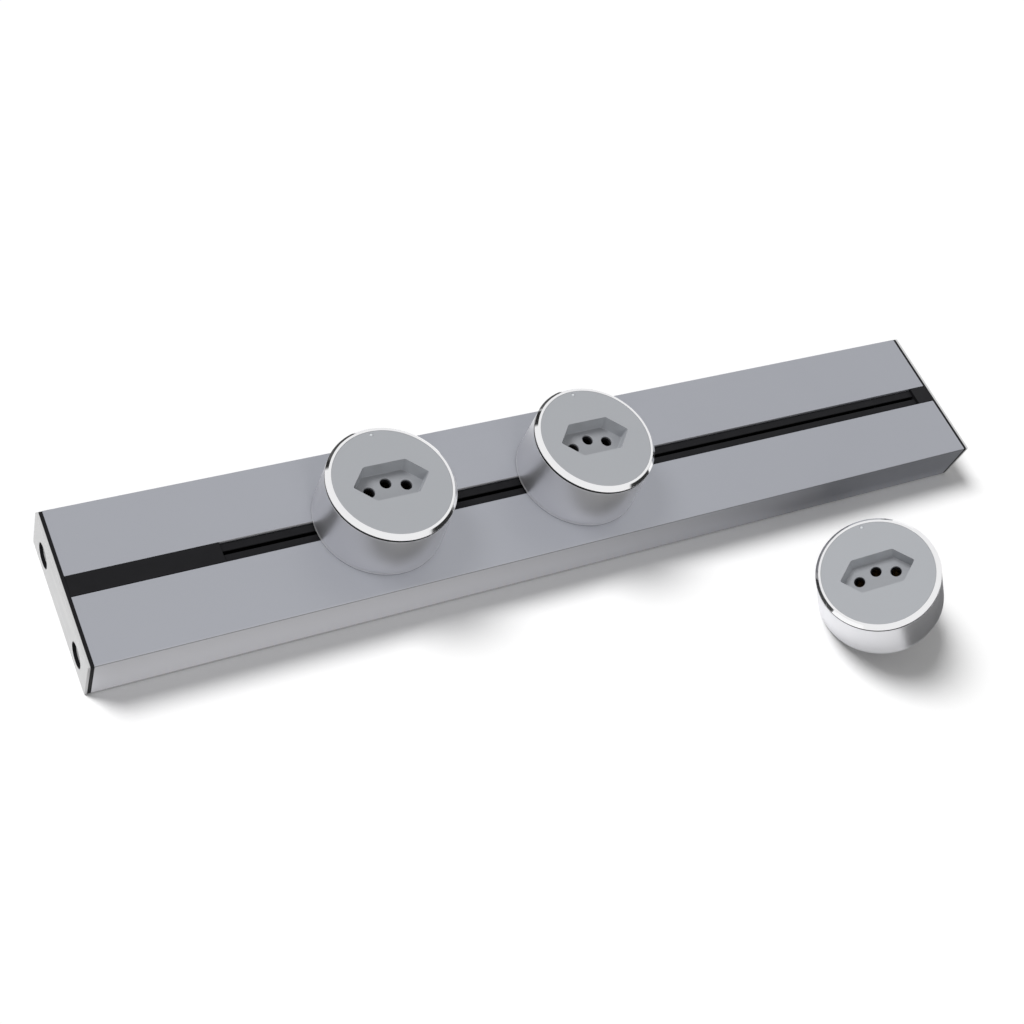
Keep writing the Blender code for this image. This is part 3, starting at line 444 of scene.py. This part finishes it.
materials = {name: makeFinish(name, look) for name, look in finishes.items()}
slots = {
    "anodisedTrack": "anodised_aluminium", "paleEnd": "pale_plate", "blackCap": "black_plastic",
    "blackLip": "black_rubber", "silverShell": "silver_plastic", "satinFace": "face_plastic",
    "chromeRing": "chrome", "whiteLiner": "white_insulation", "copperBar": "copper",
    "shadedBrassSleeve": "brass", "lampLens": "clear_lens",
}
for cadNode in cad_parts.values():
    cadSlot = cadNode.material_slots[0].material.name.split(".")[0]
    for finishName, slotName in slots.items():
        if slotName == cadSlot:
            cadNode.material_slots[0].material = materials[finishName]
print("the finishes are made:", len(materials))


def hand(piece, finishName, body, *nodes):
    # gives a finished piece its material, hides the nodes that it stands for, and attaches it to its body,
    # if it is given one
    piece.data.materials.clear()
    piece.data.materials.append(materials[finishName])
    if nodes:
        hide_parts(*nodes)
    if body:
        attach(piece, body)
    return piece


# Modules: two locked in the track, the third leans on the rim of its pad and the edge of its block
module = {
    "blockDepth": 16.6, "blockHalf": 4.9, "padRadius": 31.9, "padGap": 1.2, "segments": 160,
    "loose": (146.1, -106.6), "heading": -13,
}
lean = math.atan(module["blockDepth"] / (module["padRadius"] - module["blockHalf"]))
looseTurn = Euler((0, -lean, math.radians(module["heading"]))).to_matrix().to_4x4()
looseRise = module["padRadius"] * math.sin(lean)
seats = {}
for number in (1, 2):
    low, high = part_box(f"socket_{number}_housing")
    base = low.z - module["padGap"] * mm
    seats[f"socket_{number}"] = Matrix.Translation(((low.x + high.x) / 2, (low.y + high.y) / 2, base))
seats["socket_3"] = Matrix.Translation([v * mm for v in (*module["loose"], looseRise)]) @ looseTurn


def shareOut(master, label, finishName, onSlider=False, isTrim=False):
    # one copy of the piece for each module, each with its own mesh; a trim stands for no node
    for word, seat in seats.items():
        copy = master.copy()
        copy.data = master.data.copy()
        copy.name = f"{word}_{label}_finished"
        copy.data.name = copy.name
        bpy.context.scene.collection.objects.link(copy)
        if onSlider and word == "socket_3":
            copy.data.transform(Matrix.Rotation(math.pi / 2, 4, "Z"))
        copy.data.transform(seat)
        body = "track" if word == "socket_3" else f"{word}_{'slider' if onSlider else 'module'}"
        hand(copy, finishName, body, *([] if isTrim else [f"{word}_{label}"]))
    bpy.data.objects.remove(master, do_unlink=True)


ring = {
    "inner": 28.40, "outer": 31.1, "top": 30.4, "bottom": 28.55, "crown": 0.5, "lipRound": 0.12,
    "bandTop": 29.55, "bandBottom": 28.85,
    "spigotOuter": 28.6, "spigotInner": 27.2, "spigotBottom": 25.4, "seat": 27.4,
    "wallRound": 0.2, "edgeRound": 0.1,
}
ringOutline = softCorners(
    [
        (ring["inner"], ring["top"], ring["lipRound"]),
        (ring["bandTop"], ring["top"], ring["crown"]),
        (ring["outer"], ring["bandBottom"], ring["wallRound"]),
        (ring["outer"], ring["bottom"], ring["edgeRound"]),
        (ring["spigotOuter"], ring["bottom"], ring["edgeRound"]),
        (ring["spigotOuter"], ring["spigotBottom"], ring["wallRound"]),
        (ring["spigotInner"], ring["spigotBottom"], ring["wallRound"]),
        (ring["spigotInner"], ring["seat"], ring["edgeRound"]),
        (ring["inner"], ring["seat"], ring["edgeRound"]),
    ],
    steps=6,
)
trimRing = turnOnAxis("trimRing", ringOutline, segments=module["segments"])
shareOut(shade(trimRing), "trim_ring", "chromeRing")
print("the chromed rings are turned")

shell = {
    "top": 27.2, "topOuter": 31.1, "bottomOuter": 31.9, "bottom": 1.2, "inner": 28.9, "ledge": 27.5,
    "lowLedge": (5.3, 6.5), "highLedge": (23.9, 25.1), "topRound": 0.1, "footRound": 0.12,
    "edgeRound": 0.15, "rootRound": 0.3,
}
shellOutline = softCorners(
    [
        (shell["topOuter"], shell["top"], shell["topRound"]),
        (shell["bottomOuter"], shell["bottom"], shell["footRound"]),
        (shell["inner"], shell["bottom"], shell["edgeRound"]),
        (shell["inner"], shell["lowLedge"][0], 0),
        (shell["ledge"], shell["lowLedge"][0], shell["edgeRound"]),
        (shell["ledge"], shell["lowLedge"][1], shell["edgeRound"]),
        (shell["inner"], shell["lowLedge"][1], shell["rootRound"]),
        (shell["inner"], shell["highLedge"][0], shell["rootRound"]),
        (shell["ledge"], shell["highLedge"][0], shell["edgeRound"]),
        (shell["ledge"], shell["highLedge"][1], shell["edgeRound"]),
        (shell["inner"], shell["highLedge"][1], 0),
        (shell["inner"], shell["top"], shell["edgeRound"]),
    ]
)
housingShell = turnOnAxis("housingShell", shellOutline, segments=module["segments"])
shareOut(shade(housingShell), "housing", "silverShell")
print("the housings are turned")

# A black ring stands back in the gap between housing and ring, as painted shade that darkens the gap
shadeSeal = {"outer": 31.0, "inner": 28.65, "bottom": 27.2, "top": 28.5, "outerRound": 0.15, "innerRound": 0.1}
shadeSealOutline = softCorners(
    [
        (shadeSeal["outer"], shadeSeal["top"], shadeSeal["outerRound"]),
        (shadeSeal["outer"], shadeSeal["bottom"], shadeSeal["outerRound"]),
        (shadeSeal["inner"], shadeSeal["bottom"], shadeSeal["innerRound"]),
        (shadeSeal["inner"], shadeSeal["top"], shadeSeal["innerRound"]),
    ]
)
shareOut(shade(turnOnAxis("gapSeal", shadeSealOutline)), "gap_seal", "blackLip", isTrim=True)
print("the seals are turned")

pad = {
    "radius": 31.9, "thickness": 0.9, "ringOuter": 28.6, "ringInner": 27.3, "ringTop": 2.4,
    "ringRound": 0.2, "edge": 0.12, "capRadius": 20,
}
padOutline = softCorners(
    [
        (pad["ringInner"], pad["thickness"], 0),
        (pad["ringInner"], pad["ringTop"], pad["ringRound"]),
        (pad["ringOuter"], pad["ringTop"], pad["ringRound"]),
        (pad["ringOuter"], pad["thickness"], 0),
        (pad["radius"], pad["thickness"], pad["edge"]),
        (pad["radius"], 0, pad["edge"]),
        (pad["capRadius"], 0, 0),
    ],
    closed=False,
)
keys = {
    "near": 13.2, "far": 17.2, "half": 5.1, "depth": 1.0, "edge": 0.2,
    "passageHalf": 12.9, "passageWidth": 5.2, "passageLow": -1, "passageHigh": 2,
}
guidePad = turnOnAxis("guidePad", padOutline, closed=False, segments=module["segments"])
low = (-keys["passageHalf"], -keys["passageWidth"], keys["passageLow"])
high = (keys["passageHalf"], keys["passageWidth"], keys["passageHigh"])
carve(guidePad, addBlock("passage", low, high))
for side in (-1, 1):
    span = sorted((side * keys["near"], side * keys["far"]))
    low = (span[0], -keys["half"], -keys["depth"])
    key = addBlock("key", low, (span[1], keys["half"], pad["thickness"] / 2))
    carve(guidePad, softenEdges(key, keys["edge"]), "UNION")
shareOut(shade(guidePad), "guide_pad", "silverShell", onSlider=True)
print("the guide pads are made")

# The plug recess narrows a little on its way down to a filleted floor
face = {
    "radius": 28.35, "top": 30.2, "thickness": 2.5, "edge": 0.1, "recessTip": 19.2, "recessFlat": 10.7,
    "recessHalf": 9.35, "recessOffset": 1.0, "recessDepth": 7.5, "taper": 0.9, "fillet": 0.5,
    "corner": 0.8, "wall": 1.2, "pinSpacing": 19, "earthOffset": 3, "pinRadius": 2.8, "pinLead": 0.2,
    "lampRadius": 0.94, "lampPlace": 26.6, "flatShare": 0.6, "cornerSteps": 5, "discStart": 5,
    "underEdge": 0.1, "jacketDrop": 0.5, "jacketInset": 0.6, "jacketCorner": 2.5, "clearance": 0.5,
    "filletShares": (0.2, 0.3, 0.6), "leadRim": 0.1, "pinBelow": 1, "pinSegments": 48,
    "lampAbove": 1, "lampBelow": 4, "lampSegments": 32, "rimRound": 0.18, "rimAngle": 42,
    "smoothAngle": 26, "rimBand": 0.3,
}
# How far the painted shade of the recess floor and the painted light of its walls go from the face's
# colour, and which faces they are
paintedShadingMarks = {
    "floor": 1.0, "wall": -1.6, "floorBand": 0.2, "floorFacing": 0.8, "wallFacing": (0.01, 0.5),
}


def hexagonTool(name, grow, levels, corner):
    # a hexagon from a six-sided circle of radius 1, extruded down through (height, inset) levels
    deselectAll()
    tip = face["recessTip"] + grow
    bpy.ops.mesh.primitive_circle_add(vertices=6, radius=1, fill_type="NGON")
    piece = bpy.context.object
    piece.name = name
    flat = face["recessFlat"] + grow * face["flatShare"]
    width = face["recessHalf"] + grow
    for vertex in piece.data.vertices:
        along, across = vertex.co.y, -vertex.co.x
        atTip = abs(along) > 0.9
        along = math.copysign(tip if atTip else flat, along)
        across = 0 if atTip else math.copysign(width, across)
        vertex.co = (along * mm, (across + face["recessOffset"]) * mm, levels[0][0] * mm)
    bpy.ops.object.mode_set(mode="EDIT")
    bpy.ops.mesh.select_all(action="SELECT")
    bpy.ops.mesh.bevel(offset=corner * mm, segments=face["cornerSteps"], affect="VERTICES")
    height, inset = levels[0]
    for nextHeight, nextInset in levels[1:]:
        rise = (0, 0, (nextHeight - height) * mm)
        bpy.ops.mesh.extrude_region_move(TRANSFORM_OT_translate={"value": rise})
        slimX = (tip - nextInset) / (tip - inset)
        slimY = (width - nextInset) / (width - inset)
        bpy.ops.transform.resize(
            value=(slimX, slimY, 1), center_override=(0, face["recessOffset"] * mm, 0)
        )
        height, inset = nextHeight, nextInset
    return settle(piece)


discOutline = softCorners(
    [
        (face["radius"], face["top"], face["edge"]),
        (face["radius"], face["top"] - face["thickness"], face["underEdge"]),
        (face["discStart"], face["top"] - face["thickness"], 0),
    ],
    closed=False,
)
discOutline = [(face["discStart"], face["top"])] + discOutline
facePlate = turnOnAxis("facePlate", discOutline, closed=False, segments=module["segments"])
wellFloor = face["top"] - face["recessDepth"]
jacketLevels = [(face["top"] - face["jacketDrop"], 0), (wellFloor - face["wall"], face["jacketInset"])]
jacket = hexagonTool("jacket", face["wall"], jacketLevels, face["jacketCorner"])
carve(facePlate, jacket, "UNION")
early, middle, late = face["filletShares"]
recessLevels = [
    (face["top"] + face["clearance"], 0),
    (face["top"], 0),
    (wellFloor + face["fillet"], face["taper"] - face["fillet"] * early),
    (wellFloor + face["fillet"] * middle, face["taper"]),
    (wellFloor, face["taper"] + face["fillet"] * late),
]
carve(facePlate, hexagonTool("recess", 0, recessLevels, face["corner"]))
half = face["pinSpacing"] / 2
pins = [(-half, face["recessOffset"]), (half, face["recessOffset"])]
pins.append((0, face["recessOffset"] + face["earthOffset"]))
for across, along in pins:
    lead = face["pinRadius"] + face["pinLead"]
    hole = turnOnAxis(
        "pinHole",
        [
            (lead + face["leadRim"], wellFloor + face["leadRim"]),
            (face["pinRadius"], wellFloor - face["pinLead"]),
            (face["pinRadius"], wellFloor - face["wall"] - face["pinBelow"]),
        ],
        closed=False,
        segments=face["pinSegments"],
    )
    hole.data.transform(Matrix.Translation((across * mm, along * mm, 0)))
    carve(facePlate, hole)
lampLevels = (face["top"] + face["lampAbove"], face["top"] - face["lampBelow"])
lampOutline = [(face["lampRadius"], height) for height in lampLevels]
lampHole = turnOnAxis("lampHole", lampOutline, closed=False, segments=face["lampSegments"])
lampHole.data.transform(Matrix.Translation((0, face["lampPlace"] * mm, 0)))
carve(facePlate, lampHole)
softenEdges(facePlate, face["rimRound"], segments=2, angle=face["rimAngle"])
facingLow, facingHigh = paintedShadingMarks["wallFacing"]
# painted shade on the recess floor faces and painted light on its wall faces
paintedRecessShading = facePlate.data.attributes.new("paintedRecessShading", "FLOAT", "FACE")
for polygon, spot in zip(facePlate.data.polygons, paintedRecessShading.data):
    height = polygon.center.z / mm
    isFloor = abs(height - wellFloor) < paintedShadingMarks["floorBand"]
    isFloor = isFloor and polygon.normal.z > paintedShadingMarks["floorFacing"]
    isWall = wellFloor < height < face["top"] - face["rimBand"]
    isWall = isWall and facingLow < polygon.normal.z < facingHigh
    spot.value = paintedShadingMarks["floor"] if isFloor else paintedShadingMarks["wall"] if isWall else 0.0
shareOut(shade(facePlate, face["smoothAngle"]), "face_plate", "satinFace")
print("the face plates are cut")

lens = {"radius": 0.9, "bottom": 27.7, "top": 30.32, "crown": 0.5, "flat": 0.15}
lensOutline = softCorners(
    [
        (lens["radius"], lens["bottom"], 0),
        (lens["radius"], lens["top"], lens["crown"]),
        (lens["flat"], lens["top"], 0),
    ],
    steps=5,
    closed=False,
)
lampLens = turnOnAxis("lampLens", lensOutline, closed=False, segments=face["lampSegments"])
lampLens.data.transform(Matrix.Translation((0, face["lampPlace"] * mm, 0)))
shareOut(shade(lampLens), "lamp_lens", "lampLens")
print("the lenses are made")

lips = {
    "low": -177.2, "high": 236.7, "foot": 9.2, "footLow": 21.4, "footTop": 22.5, "back": 5.1,
    "top": 23.6, "wall": 0.8, "gap": 0.95, "meet": -45.5, "neckHole": 5.0, "roundNeck": 5.6, "seam": 0.05,
    "holeLow": 20, "holeHigh": 26, "holeSegments": 64, "footRound": 0.2, "rootRound": 0.1,
    "topRound": 0.35, "gapRound": 0.3, "underRound": 0.15,
}


def stretchLip(name, section, fixedEnd, movedEnd, standsFor):
    # a stretch of rubber drawn along the track between its fixed end and the end next to a module, attached
    # to no body
    rubber = drawAlongTrack(name, section, *sorted((fixedEnd, movedEnd)))
    hand(shade(rubber), "blackLip", None, standsFor)
    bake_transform(rubber)


for word, side in (("rear", 1), ("front", -1)):
    section = softCorners(
        [
            (lips["foot"], lips["footLow"], lips["footRound"]),
            (lips["foot"], lips["footTop"], lips["footRound"]),
            (lips["back"], lips["footTop"], lips["rootRound"]),
            (lips["back"], lips["top"], lips["topRound"]),
            (lips["gap"], lips["top"], lips["gapRound"]),
            (lips["gap"], lips["top"] - lips["wall"], lips["underRound"]),
            (lips["back"] - lips["wall"], lips["top"] - lips["wall"], lips["footRound"]),
            (lips["back"] - lips["wall"], lips["footLow"], lips["rootRound"]),
        ]
    )
    section = [(side * across, up) for across, up in section]
    for number, outerEnd in ((1, lips["low"]), (2, lips["high"])):
        neck = seats[f"socket_{number}"].translation.x / mm
        slider = f"socket_{number}_slider"
        low, high = neck - lips["roundNeck"], neck + lips["roundNeck"]
        parted = drawAlongTrack(f"{word}_lip_round_neck_{number}", section, low, high)
        holeOutline = [(lips["neckHole"], lips["holeLow"]), (lips["neckHole"], lips["holeHigh"])]
        hole = turnOnAxis("neckHole", holeOutline, closed=False, segments=lips["holeSegments"])
        hole.data.transform(Matrix.Translation((neck * mm, 0, 0)))
        hand(shade(carve(parted, hole)), "blackLip", slider)
        runs = [(lips["meet"], high if number == 1 else low), (outerEnd, low if number == 1 else high)]
        for part, (fixedEnd, movedEnd) in zip(("inner", "outer"), runs):
            movedEnd += math.copysign(lips["seam"], fixedEnd - movedEnd)
            name = f"{word}_lip_{part}_{number}"
            stretchLip(name, section, fixedEnd, movedEnd, f"{word}_dust_lip")
print("the dust lips are drawn, parted round each neck")

cover = {
    "half": 5.1, "foot": 9.2, "footLow": 21.4, "footTop": 22.5, "top": 25.0, "edge": 0.25, "end": 247.1,
    "feedStop": -177.5, "farStop": 237.0, "footRound": 0.1, "endEdge": 0.15, "endAngle": 60,
}
coverSpans = {
    "feed_cover": (-cover["end"], cover["feedStop"]), "end_cover": (cover["farStop"], cover["end"]),
}
coverSection = [
    (cover["foot"], cover["footLow"], cover["footRound"]),
    (cover["foot"], cover["footTop"], cover["footRound"]),
    (cover["half"], cover["footTop"], cover["footRound"]),
    (cover["half"], cover["top"], cover["edge"]),
]
coverSection += [(-across, up, radius) for across, up, radius in reversed(coverSection)]
for label, (low, high) in coverSpans.items():
    block = drawAlongTrack(f"{label}_finished", softCorners(coverSection), low, high)
    softenEdges(block, cover["endEdge"], segments=2, angle=cover["endAngle"])
    hand(shade(block), "blackCap", "track", label)
print("the slot covers are drawn")

# Each end: a black cap whose two collars stand through a pale plate, and a push rivet in each collar
ends = {
    "half": 40, "height": 25, "corner": 0.9, "capInner": 247.15, "capOuter": 248.7, "plateInner": 248.8,
    "plateOuter": 250.0, "port": 25.7, "portHeight": 10.5, "hole": 6.2, "collar": 6.12, "pocket": 5.82,
    "pocketFloor": 247.8, "bore": 1.9, "rivetHead": 5.72, "rivetInner": 248.0, "rivetOuter": 248.5,
    "shank": 1.6, "rivetTip": 239.2, "tipLength": 2, "headFlat": 1.2, "headRound": 0.35, "shankRound": 0.1,
    "tipRound": 0.3, "collarRoot": 248.4, "boreStart": 240, "cutEnd": 252, "holeStart": 245, "holeEnd": 255,
    "edge": 0.12, "edgeAngle": 50, "rivetSegments": 64, "boreSegments": 32,
}
endSection = [
    (-ends["half"], 0, ends["corner"]),
    (ends["half"], 0, ends["corner"]),
    (ends["half"], ends["height"], ends["corner"]),
    (-ends["half"], ends["height"], ends["corner"]),
]


def portRod(radius, low, high, segments=64):
    # a round tool along the track through one port, then the same through the other
    for across in (-ends["port"], ends["port"]):
        rod = turnOnAxis("portRod", [(radius, low), (radius, high)], closed=False, segments=segments)
        yield layAlongTrack(rod, across, ends["portHeight"])


for word, side in (("left", -1), ("right", 1)):
    span = sorted((side * ends["capInner"], side * ends["capOuter"]))
    endCap = drawAlongTrack(f"{word}_end_cap_finished", softCorners(endSection), *span)
    for tool in portRod(ends["collar"], *sorted((side * ends["collarRoot"], side * ends["plateOuter"]))):
        carve(endCap, tool, "UNION")
    for tool in portRod(ends["pocket"], *sorted((side * ends["pocketFloor"], side * ends["cutEnd"]))):
        carve(endCap, tool)
    span = sorted((side * ends["boreStart"], side * ends["cutEnd"]))
    for tool in portRod(ends["bore"], *span, segments=ends["boreSegments"]):
        carve(endCap, tool)
    softenEdges(endCap, ends["edge"], segments=2, angle=ends["edgeAngle"])
    hand(shade(endCap, ends["edgeAngle"]), "blackCap", "track", f"{word}_end_cap")
    span = sorted((side * ends["plateInner"], side * ends["plateOuter"]))
    endPlate = drawAlongTrack(f"{word}_end_plate_finished", softCorners(endSection), *span)
    for tool in portRod(ends["hole"], *sorted((side * ends["holeStart"], side * ends["holeEnd"]))):
        carve(endPlate, tool)
    softenEdges(endPlate, ends["edge"], segments=2, angle=ends["edgeAngle"])
    hand(shade(endPlate, ends["edgeAngle"]), "paleEnd", "track", f"{word}_end_plate")
    rivetOutline = softCorners(
        [
            (ends["headFlat"], ends["rivetOuter"], 0),
            (ends["rivetHead"], ends["rivetOuter"], ends["headRound"]),
            (ends["rivetHead"], ends["rivetInner"], ends["shankRound"]),
            (ends["shank"], ends["rivetInner"], ends["shankRound"]),
            (ends["shank"], ends["rivetTip"] + ends["tipLength"], ends["tipRound"]),
            (ends["shank"] / 2, ends["rivetTip"], 0),
        ],
        closed=False,
    )
    for row, across in (("rear", ends["port"]), ("front", -ends["port"])):
        name = f"{word}_{row}_end_rivet_finished"
        rivet = turnOnAxis(name, rivetOutline, closed=False, segments=ends["rivetSegments"])
        layAlongTrack(rivet, across, ends["portHeight"], side)
        hand(shade(rivet), "paleEnd", "track", f"{word}_{row}_end_rivet")
print("the ends are fitted")

# Studio: a white floor, a bright room that is dark low down on the right and in a patch behind,
# a wide sun in three lamps, a soft front lamp that leaves the floor alone, a fill lamp for the front
# of the track, and two dark sheets just above the floor that show only in reflections, as painted dark
# reflections
studio = {
    "floorSize": 12, "floorColour": 0.80, "room": 0.9, "dark": 0.03, "darkSide": (0.92, -0.38, 0.05),
    "darkBack": (-0.25, 0.965, 0.07), "ambient": 0.31,
    "sunFrom": (-0.55, 0.53, 1.0), "sunWidth": 23, "sunPower": 2.82, "unshaded": 0.5,
    "frontFrom": (-0.1, -0.8, 0.6), "frontWidth": 30, "frontPower": 0.85,
    "fillPlace": (-0.24, -0.50, 0.06), "fillAim": (-0.16, -0.04, 0.012), "fillCone": 70, "fillSize": 0.05,
    "fillPower": 14.1, "fillTint": (1.0, 0.95, 0.87), "fillBlend": 0.9,
    "cardTone": 0.03, "cardHeight": 0.3, "floorLevel": -0.1, "matt": 0.9,
    "sideBlend": (0.72, 0.88), "lowBlend": (0.29, 0.32), "backBlend": (0.965, 0.985),
    "reflectionCards": [
        [
            (-262, -50), (-262, -92), (60, -102), (74, -74), (176, -74), (166, -120), (157, -150),
            (150, -230), (420, -260), (420, -43), (140, -43), (60, -50),
        ],
        [(-2400, 155), (200, 155), (200, 5900), (-2400, 5900)],
    ],
}
deselectAll()
bpy.ops.mesh.primitive_plane_add(size=studio["floorSize"], location=(0, 0, studio["floorLevel"] * mm))
floor = bpy.context.object
floor.name = "studioFloor"
bpy.ops.object.transform_apply(location=True)
floorLook = bpy.data.materials.new("studioFloor")
floorLook.use_nodes = True
tree = floorLook.node_tree
shader = tree.nodes["Principled BSDF"]
shader.inputs["Roughness"].default_value = studio["matt"]
shader.inputs["Specular IOR Level"].default_value = 0.0
# the floor is white to the camera and in mirrors, and throws back light as its own colour does
path = node(tree, "ShaderNodeLightPath")
seen = node(tree, "ShaderNodeMath", operation="MAXIMUM")
seenAtAll = node(tree, "ShaderNodeMath", operation="MAXIMUM")
shown = node(tree, "ShaderNodeMix", data_type="RGBA")
shown.inputs["A"].default_value = (*[studio["floorColour"]] * 3, 1)
shown.inputs["B"].default_value = (1, 1, 1, 1)
tree.links.new(path.outputs["Is Camera Ray"], seen.inputs[0])
tree.links.new(path.outputs["Is Glossy Ray"], seen.inputs[1])
tree.links.new(seen.outputs["Value"], seenAtAll.inputs[0])
tree.links.new(path.outputs["Is Transmission Ray"], seenAtAll.inputs[1])
tree.links.new(seenAtAll.outputs["Value"], shown.inputs["Factor"])
tree.links.new(shown.outputs["Result"], shader.inputs["Base Color"])
floor.data.materials.append(floorLook)

paintedReflectionLook = bpy.data.materials.new("paintedDarkReflection")
paintedReflectionLook.use_nodes = True
cardShader = paintedReflectionLook.node_tree.nodes["Principled BSDF"]
cardShader.inputs["Base Color"].default_value = (*[studio["cardTone"]] * 3, 1)
cardShader.inputs["Roughness"].default_value = studio["matt"]
# painted dark reflections: flat dark sheets that the camera, soft light and shadows don't see
for corners in studio["reflectionCards"]:
    bpy.ops.mesh.primitive_circle_add(vertices=len(corners), radius=mm, fill_type="NGON")
    card = bpy.context.object
    card.name = "paintedDarkReflection"
    for vertex, (along, across) in zip(card.data.vertices, corners):
        vertex.co = (along * mm, across * mm, studio["cardHeight"] * mm)
    card.data.materials.append(paintedReflectionLook)
    card.visible_camera = False
    card.visible_diffuse = False
    card.visible_shadow = False

# Room: white to the camera, dim and even for soft light, and bright but for two dark parts in mirrors
room = bpy.data.worlds.new("studioRoom")
bpy.context.scene.world = room
room.use_nodes = True
room.cycles.sampling_method = "NONE"
tree = room.node_tree
tree.nodes.clear()
link = tree.links.new
direction = node(tree, "ShaderNodeTexCoord")
towards = node(tree, "ShaderNodeVectorMath", operation="DOT_PRODUCT")
towards.inputs[1].default_value = studio["darkSide"]
facing = node(tree, "ShaderNodeMapRange", interpolation_type="SMOOTHSTEP")
facing.inputs["From Min"].default_value = studio["sideBlend"][0]
facing.inputs["From Max"].default_value = studio["sideBlend"][1]
height = node(tree, "ShaderNodeSeparateXYZ")
lowDown = node(tree, "ShaderNodeMapRange", interpolation_type="SMOOTHSTEP")
lowDown.inputs["From Min"].default_value = studio["lowBlend"][0]
lowDown.inputs["From Max"].default_value = studio["lowBlend"][1]
lowDown.inputs["To Min"].default_value = 1.0
lowDown.inputs["To Max"].default_value = 0.0
shadeOf = node(tree, "ShaderNodeMath", operation="MULTIPLY")
brightness = node(tree, "ShaderNodeMapRange")
brightness.inputs["To Min"].default_value = studio["room"]
brightness.inputs["To Max"].default_value = studio["dark"]
behind = node(tree, "ShaderNodeVectorMath", operation="DOT_PRODUCT")
behind.inputs[1].default_value = studio["darkBack"]
backPatch = node(tree, "ShaderNodeMapRange", interpolation_type="SMOOTHSTEP")
backPatch.inputs["From Min"].default_value = studio["backBlend"][0]
backPatch.inputs["From Max"].default_value = studio["backBlend"][1]
allShade = node(tree, "ShaderNodeMath", operation="MAXIMUM")
lit = node(tree, "ShaderNodeBackground")
lit.inputs["Color"].default_value = (1, 1, 1, 1)
soft = node(tree, "ShaderNodeBackground")
soft.inputs["Color"].default_value = (1, 1, 1, 1)
soft.inputs["Strength"].default_value = studio["ambient"]
scattered = node(tree, "ShaderNodeMixShader")
white = node(tree, "ShaderNodeBackground")
white.inputs["Color"].default_value = (1, 1, 1, 1)
path = node(tree, "ShaderNodeLightPath")
either = node(tree, "ShaderNodeMixShader")
out = node(tree, "ShaderNodeOutputWorld")
link(direction.outputs["Generated"], towards.inputs[0])
link(towards.outputs["Value"], facing.inputs["Value"])
link(direction.outputs["Generated"], height.inputs["Vector"])
link(height.outputs["Z"], lowDown.inputs["Value"])
link(facing.outputs["Result"], shadeOf.inputs[0])
link(lowDown.outputs["Result"], shadeOf.inputs[1])
link(direction.outputs["Generated"], behind.inputs[0])
link(behind.outputs["Value"], backPatch.inputs["Value"])
link(shadeOf.outputs["Value"], allShade.inputs[0])
link(backPatch.outputs["Result"], allShade.inputs[1])
link(allShade.outputs["Value"], brightness.inputs["Value"])
link(brightness.outputs["Result"], lit.inputs["Strength"])
link(path.outputs["Is Diffuse Ray"], scattered.inputs["Fac"])
link(lit.outputs["Background"], scattered.inputs[1])
link(soft.outputs["Background"], scattered.inputs[2])
link(path.outputs["Is Camera Ray"], either.inputs["Fac"])
link(scattered.outputs["Shader"], either.inputs[1])
link(white.outputs["Background"], either.inputs[2])
link(either.outputs["Shader"], out.inputs["Surface"])


def hangLamp(name, kind, place, aim, power):
    # no surface mirrors a lamp
    lamp = bpy.data.lights.new(name, kind)
    lamp.energy = power
    holder = bpy.data.objects.new(name, lamp)
    bpy.context.scene.collection.objects.link(holder)
    holder.location = place
    holder.rotation_euler = (Vector(aim) - Vector(place)).to_track_quat("-Z", "Y").to_euler()
    holder.visible_glossy = False
    return holder


def lightGroup(name, piece, state="INCLUDE"):
    group = bpy.data.collections.new(name)
    group.objects.link(piece)
    group.collection_objects[0].light_linking.link_state = state
    return group


# The sun is three lamps, so that the modules' shadows are weaker on the track than on the floor
suns = {"softSun": 1.0, "trackSun": 1 - studio["unshaded"], "trackSunUnshaded": studio["unshaded"]}
for name, share in suns.items():
    suns[name] = hangLamp(name, "SUN", studio["sunFrom"], (0, 0, 0), studio["sunPower"] * share)
    suns[name].data.angle = math.radians(studio["sunWidth"])
front = hangLamp("frontLamp", "SUN", studio["frontFrom"], (0, 0, 0), studio["frontPower"])
front.data.angle = math.radians(studio["frontWidth"])
fill = hangLamp("fillLamp", "SPOT", studio["fillPlace"], studio["fillAim"], studio["fillPower"])
fill.data.spot_size = math.radians(studio["fillCone"])
fill.data.spot_blend = studio["fillBlend"]
fill.data.shadow_soft_size = studio["fillSize"]
fill.data.color = studio["fillTint"]
trackOnly = lightGroup("trackOnly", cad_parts["track_extrusion"])
for lamp in (suns["trackSun"], suns["trackSunUnshaded"], fill):
    lamp.light_linking.receiver_collection = trackOnly
allButTrack = lightGroup("allButTrack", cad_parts["track_extrusion"], "EXCLUDE")
suns["softSun"].light_linking.receiver_collection = allButTrack
suns["trackSunUnshaded"].light_linking.blocker_collection = lightGroup("floorOnly", floor)
front.light_linking.receiver_collection = lightGroup("allButFloor", floor, "EXCLUDE")

lensOf = {"length": 53.7002, "sensor": 36, "nearest": 10}
view = {"place": (-369.694, -318.893, 617.105), "turn": (34.0864, -16.5709, -24.8551)}
lensData = bpy.data.cameras.new("photoCamera")
lensData.lens = lensOf["length"]
lensData.sensor_width = lensOf["sensor"]
lensData.clip_start = lensOf["nearest"] * mm
camera = bpy.data.objects.new("photoCamera", lensData)
bpy.context.scene.collection.objects.link(camera)
camera.location = [value * mm for value in view["place"]]
camera.rotation_euler = [math.radians(value) for value in view["turn"]]
bpy.context.scene.camera = camera
bpy.context.scene.view_settings.view_transform = "Standard"
print("the studio is set")
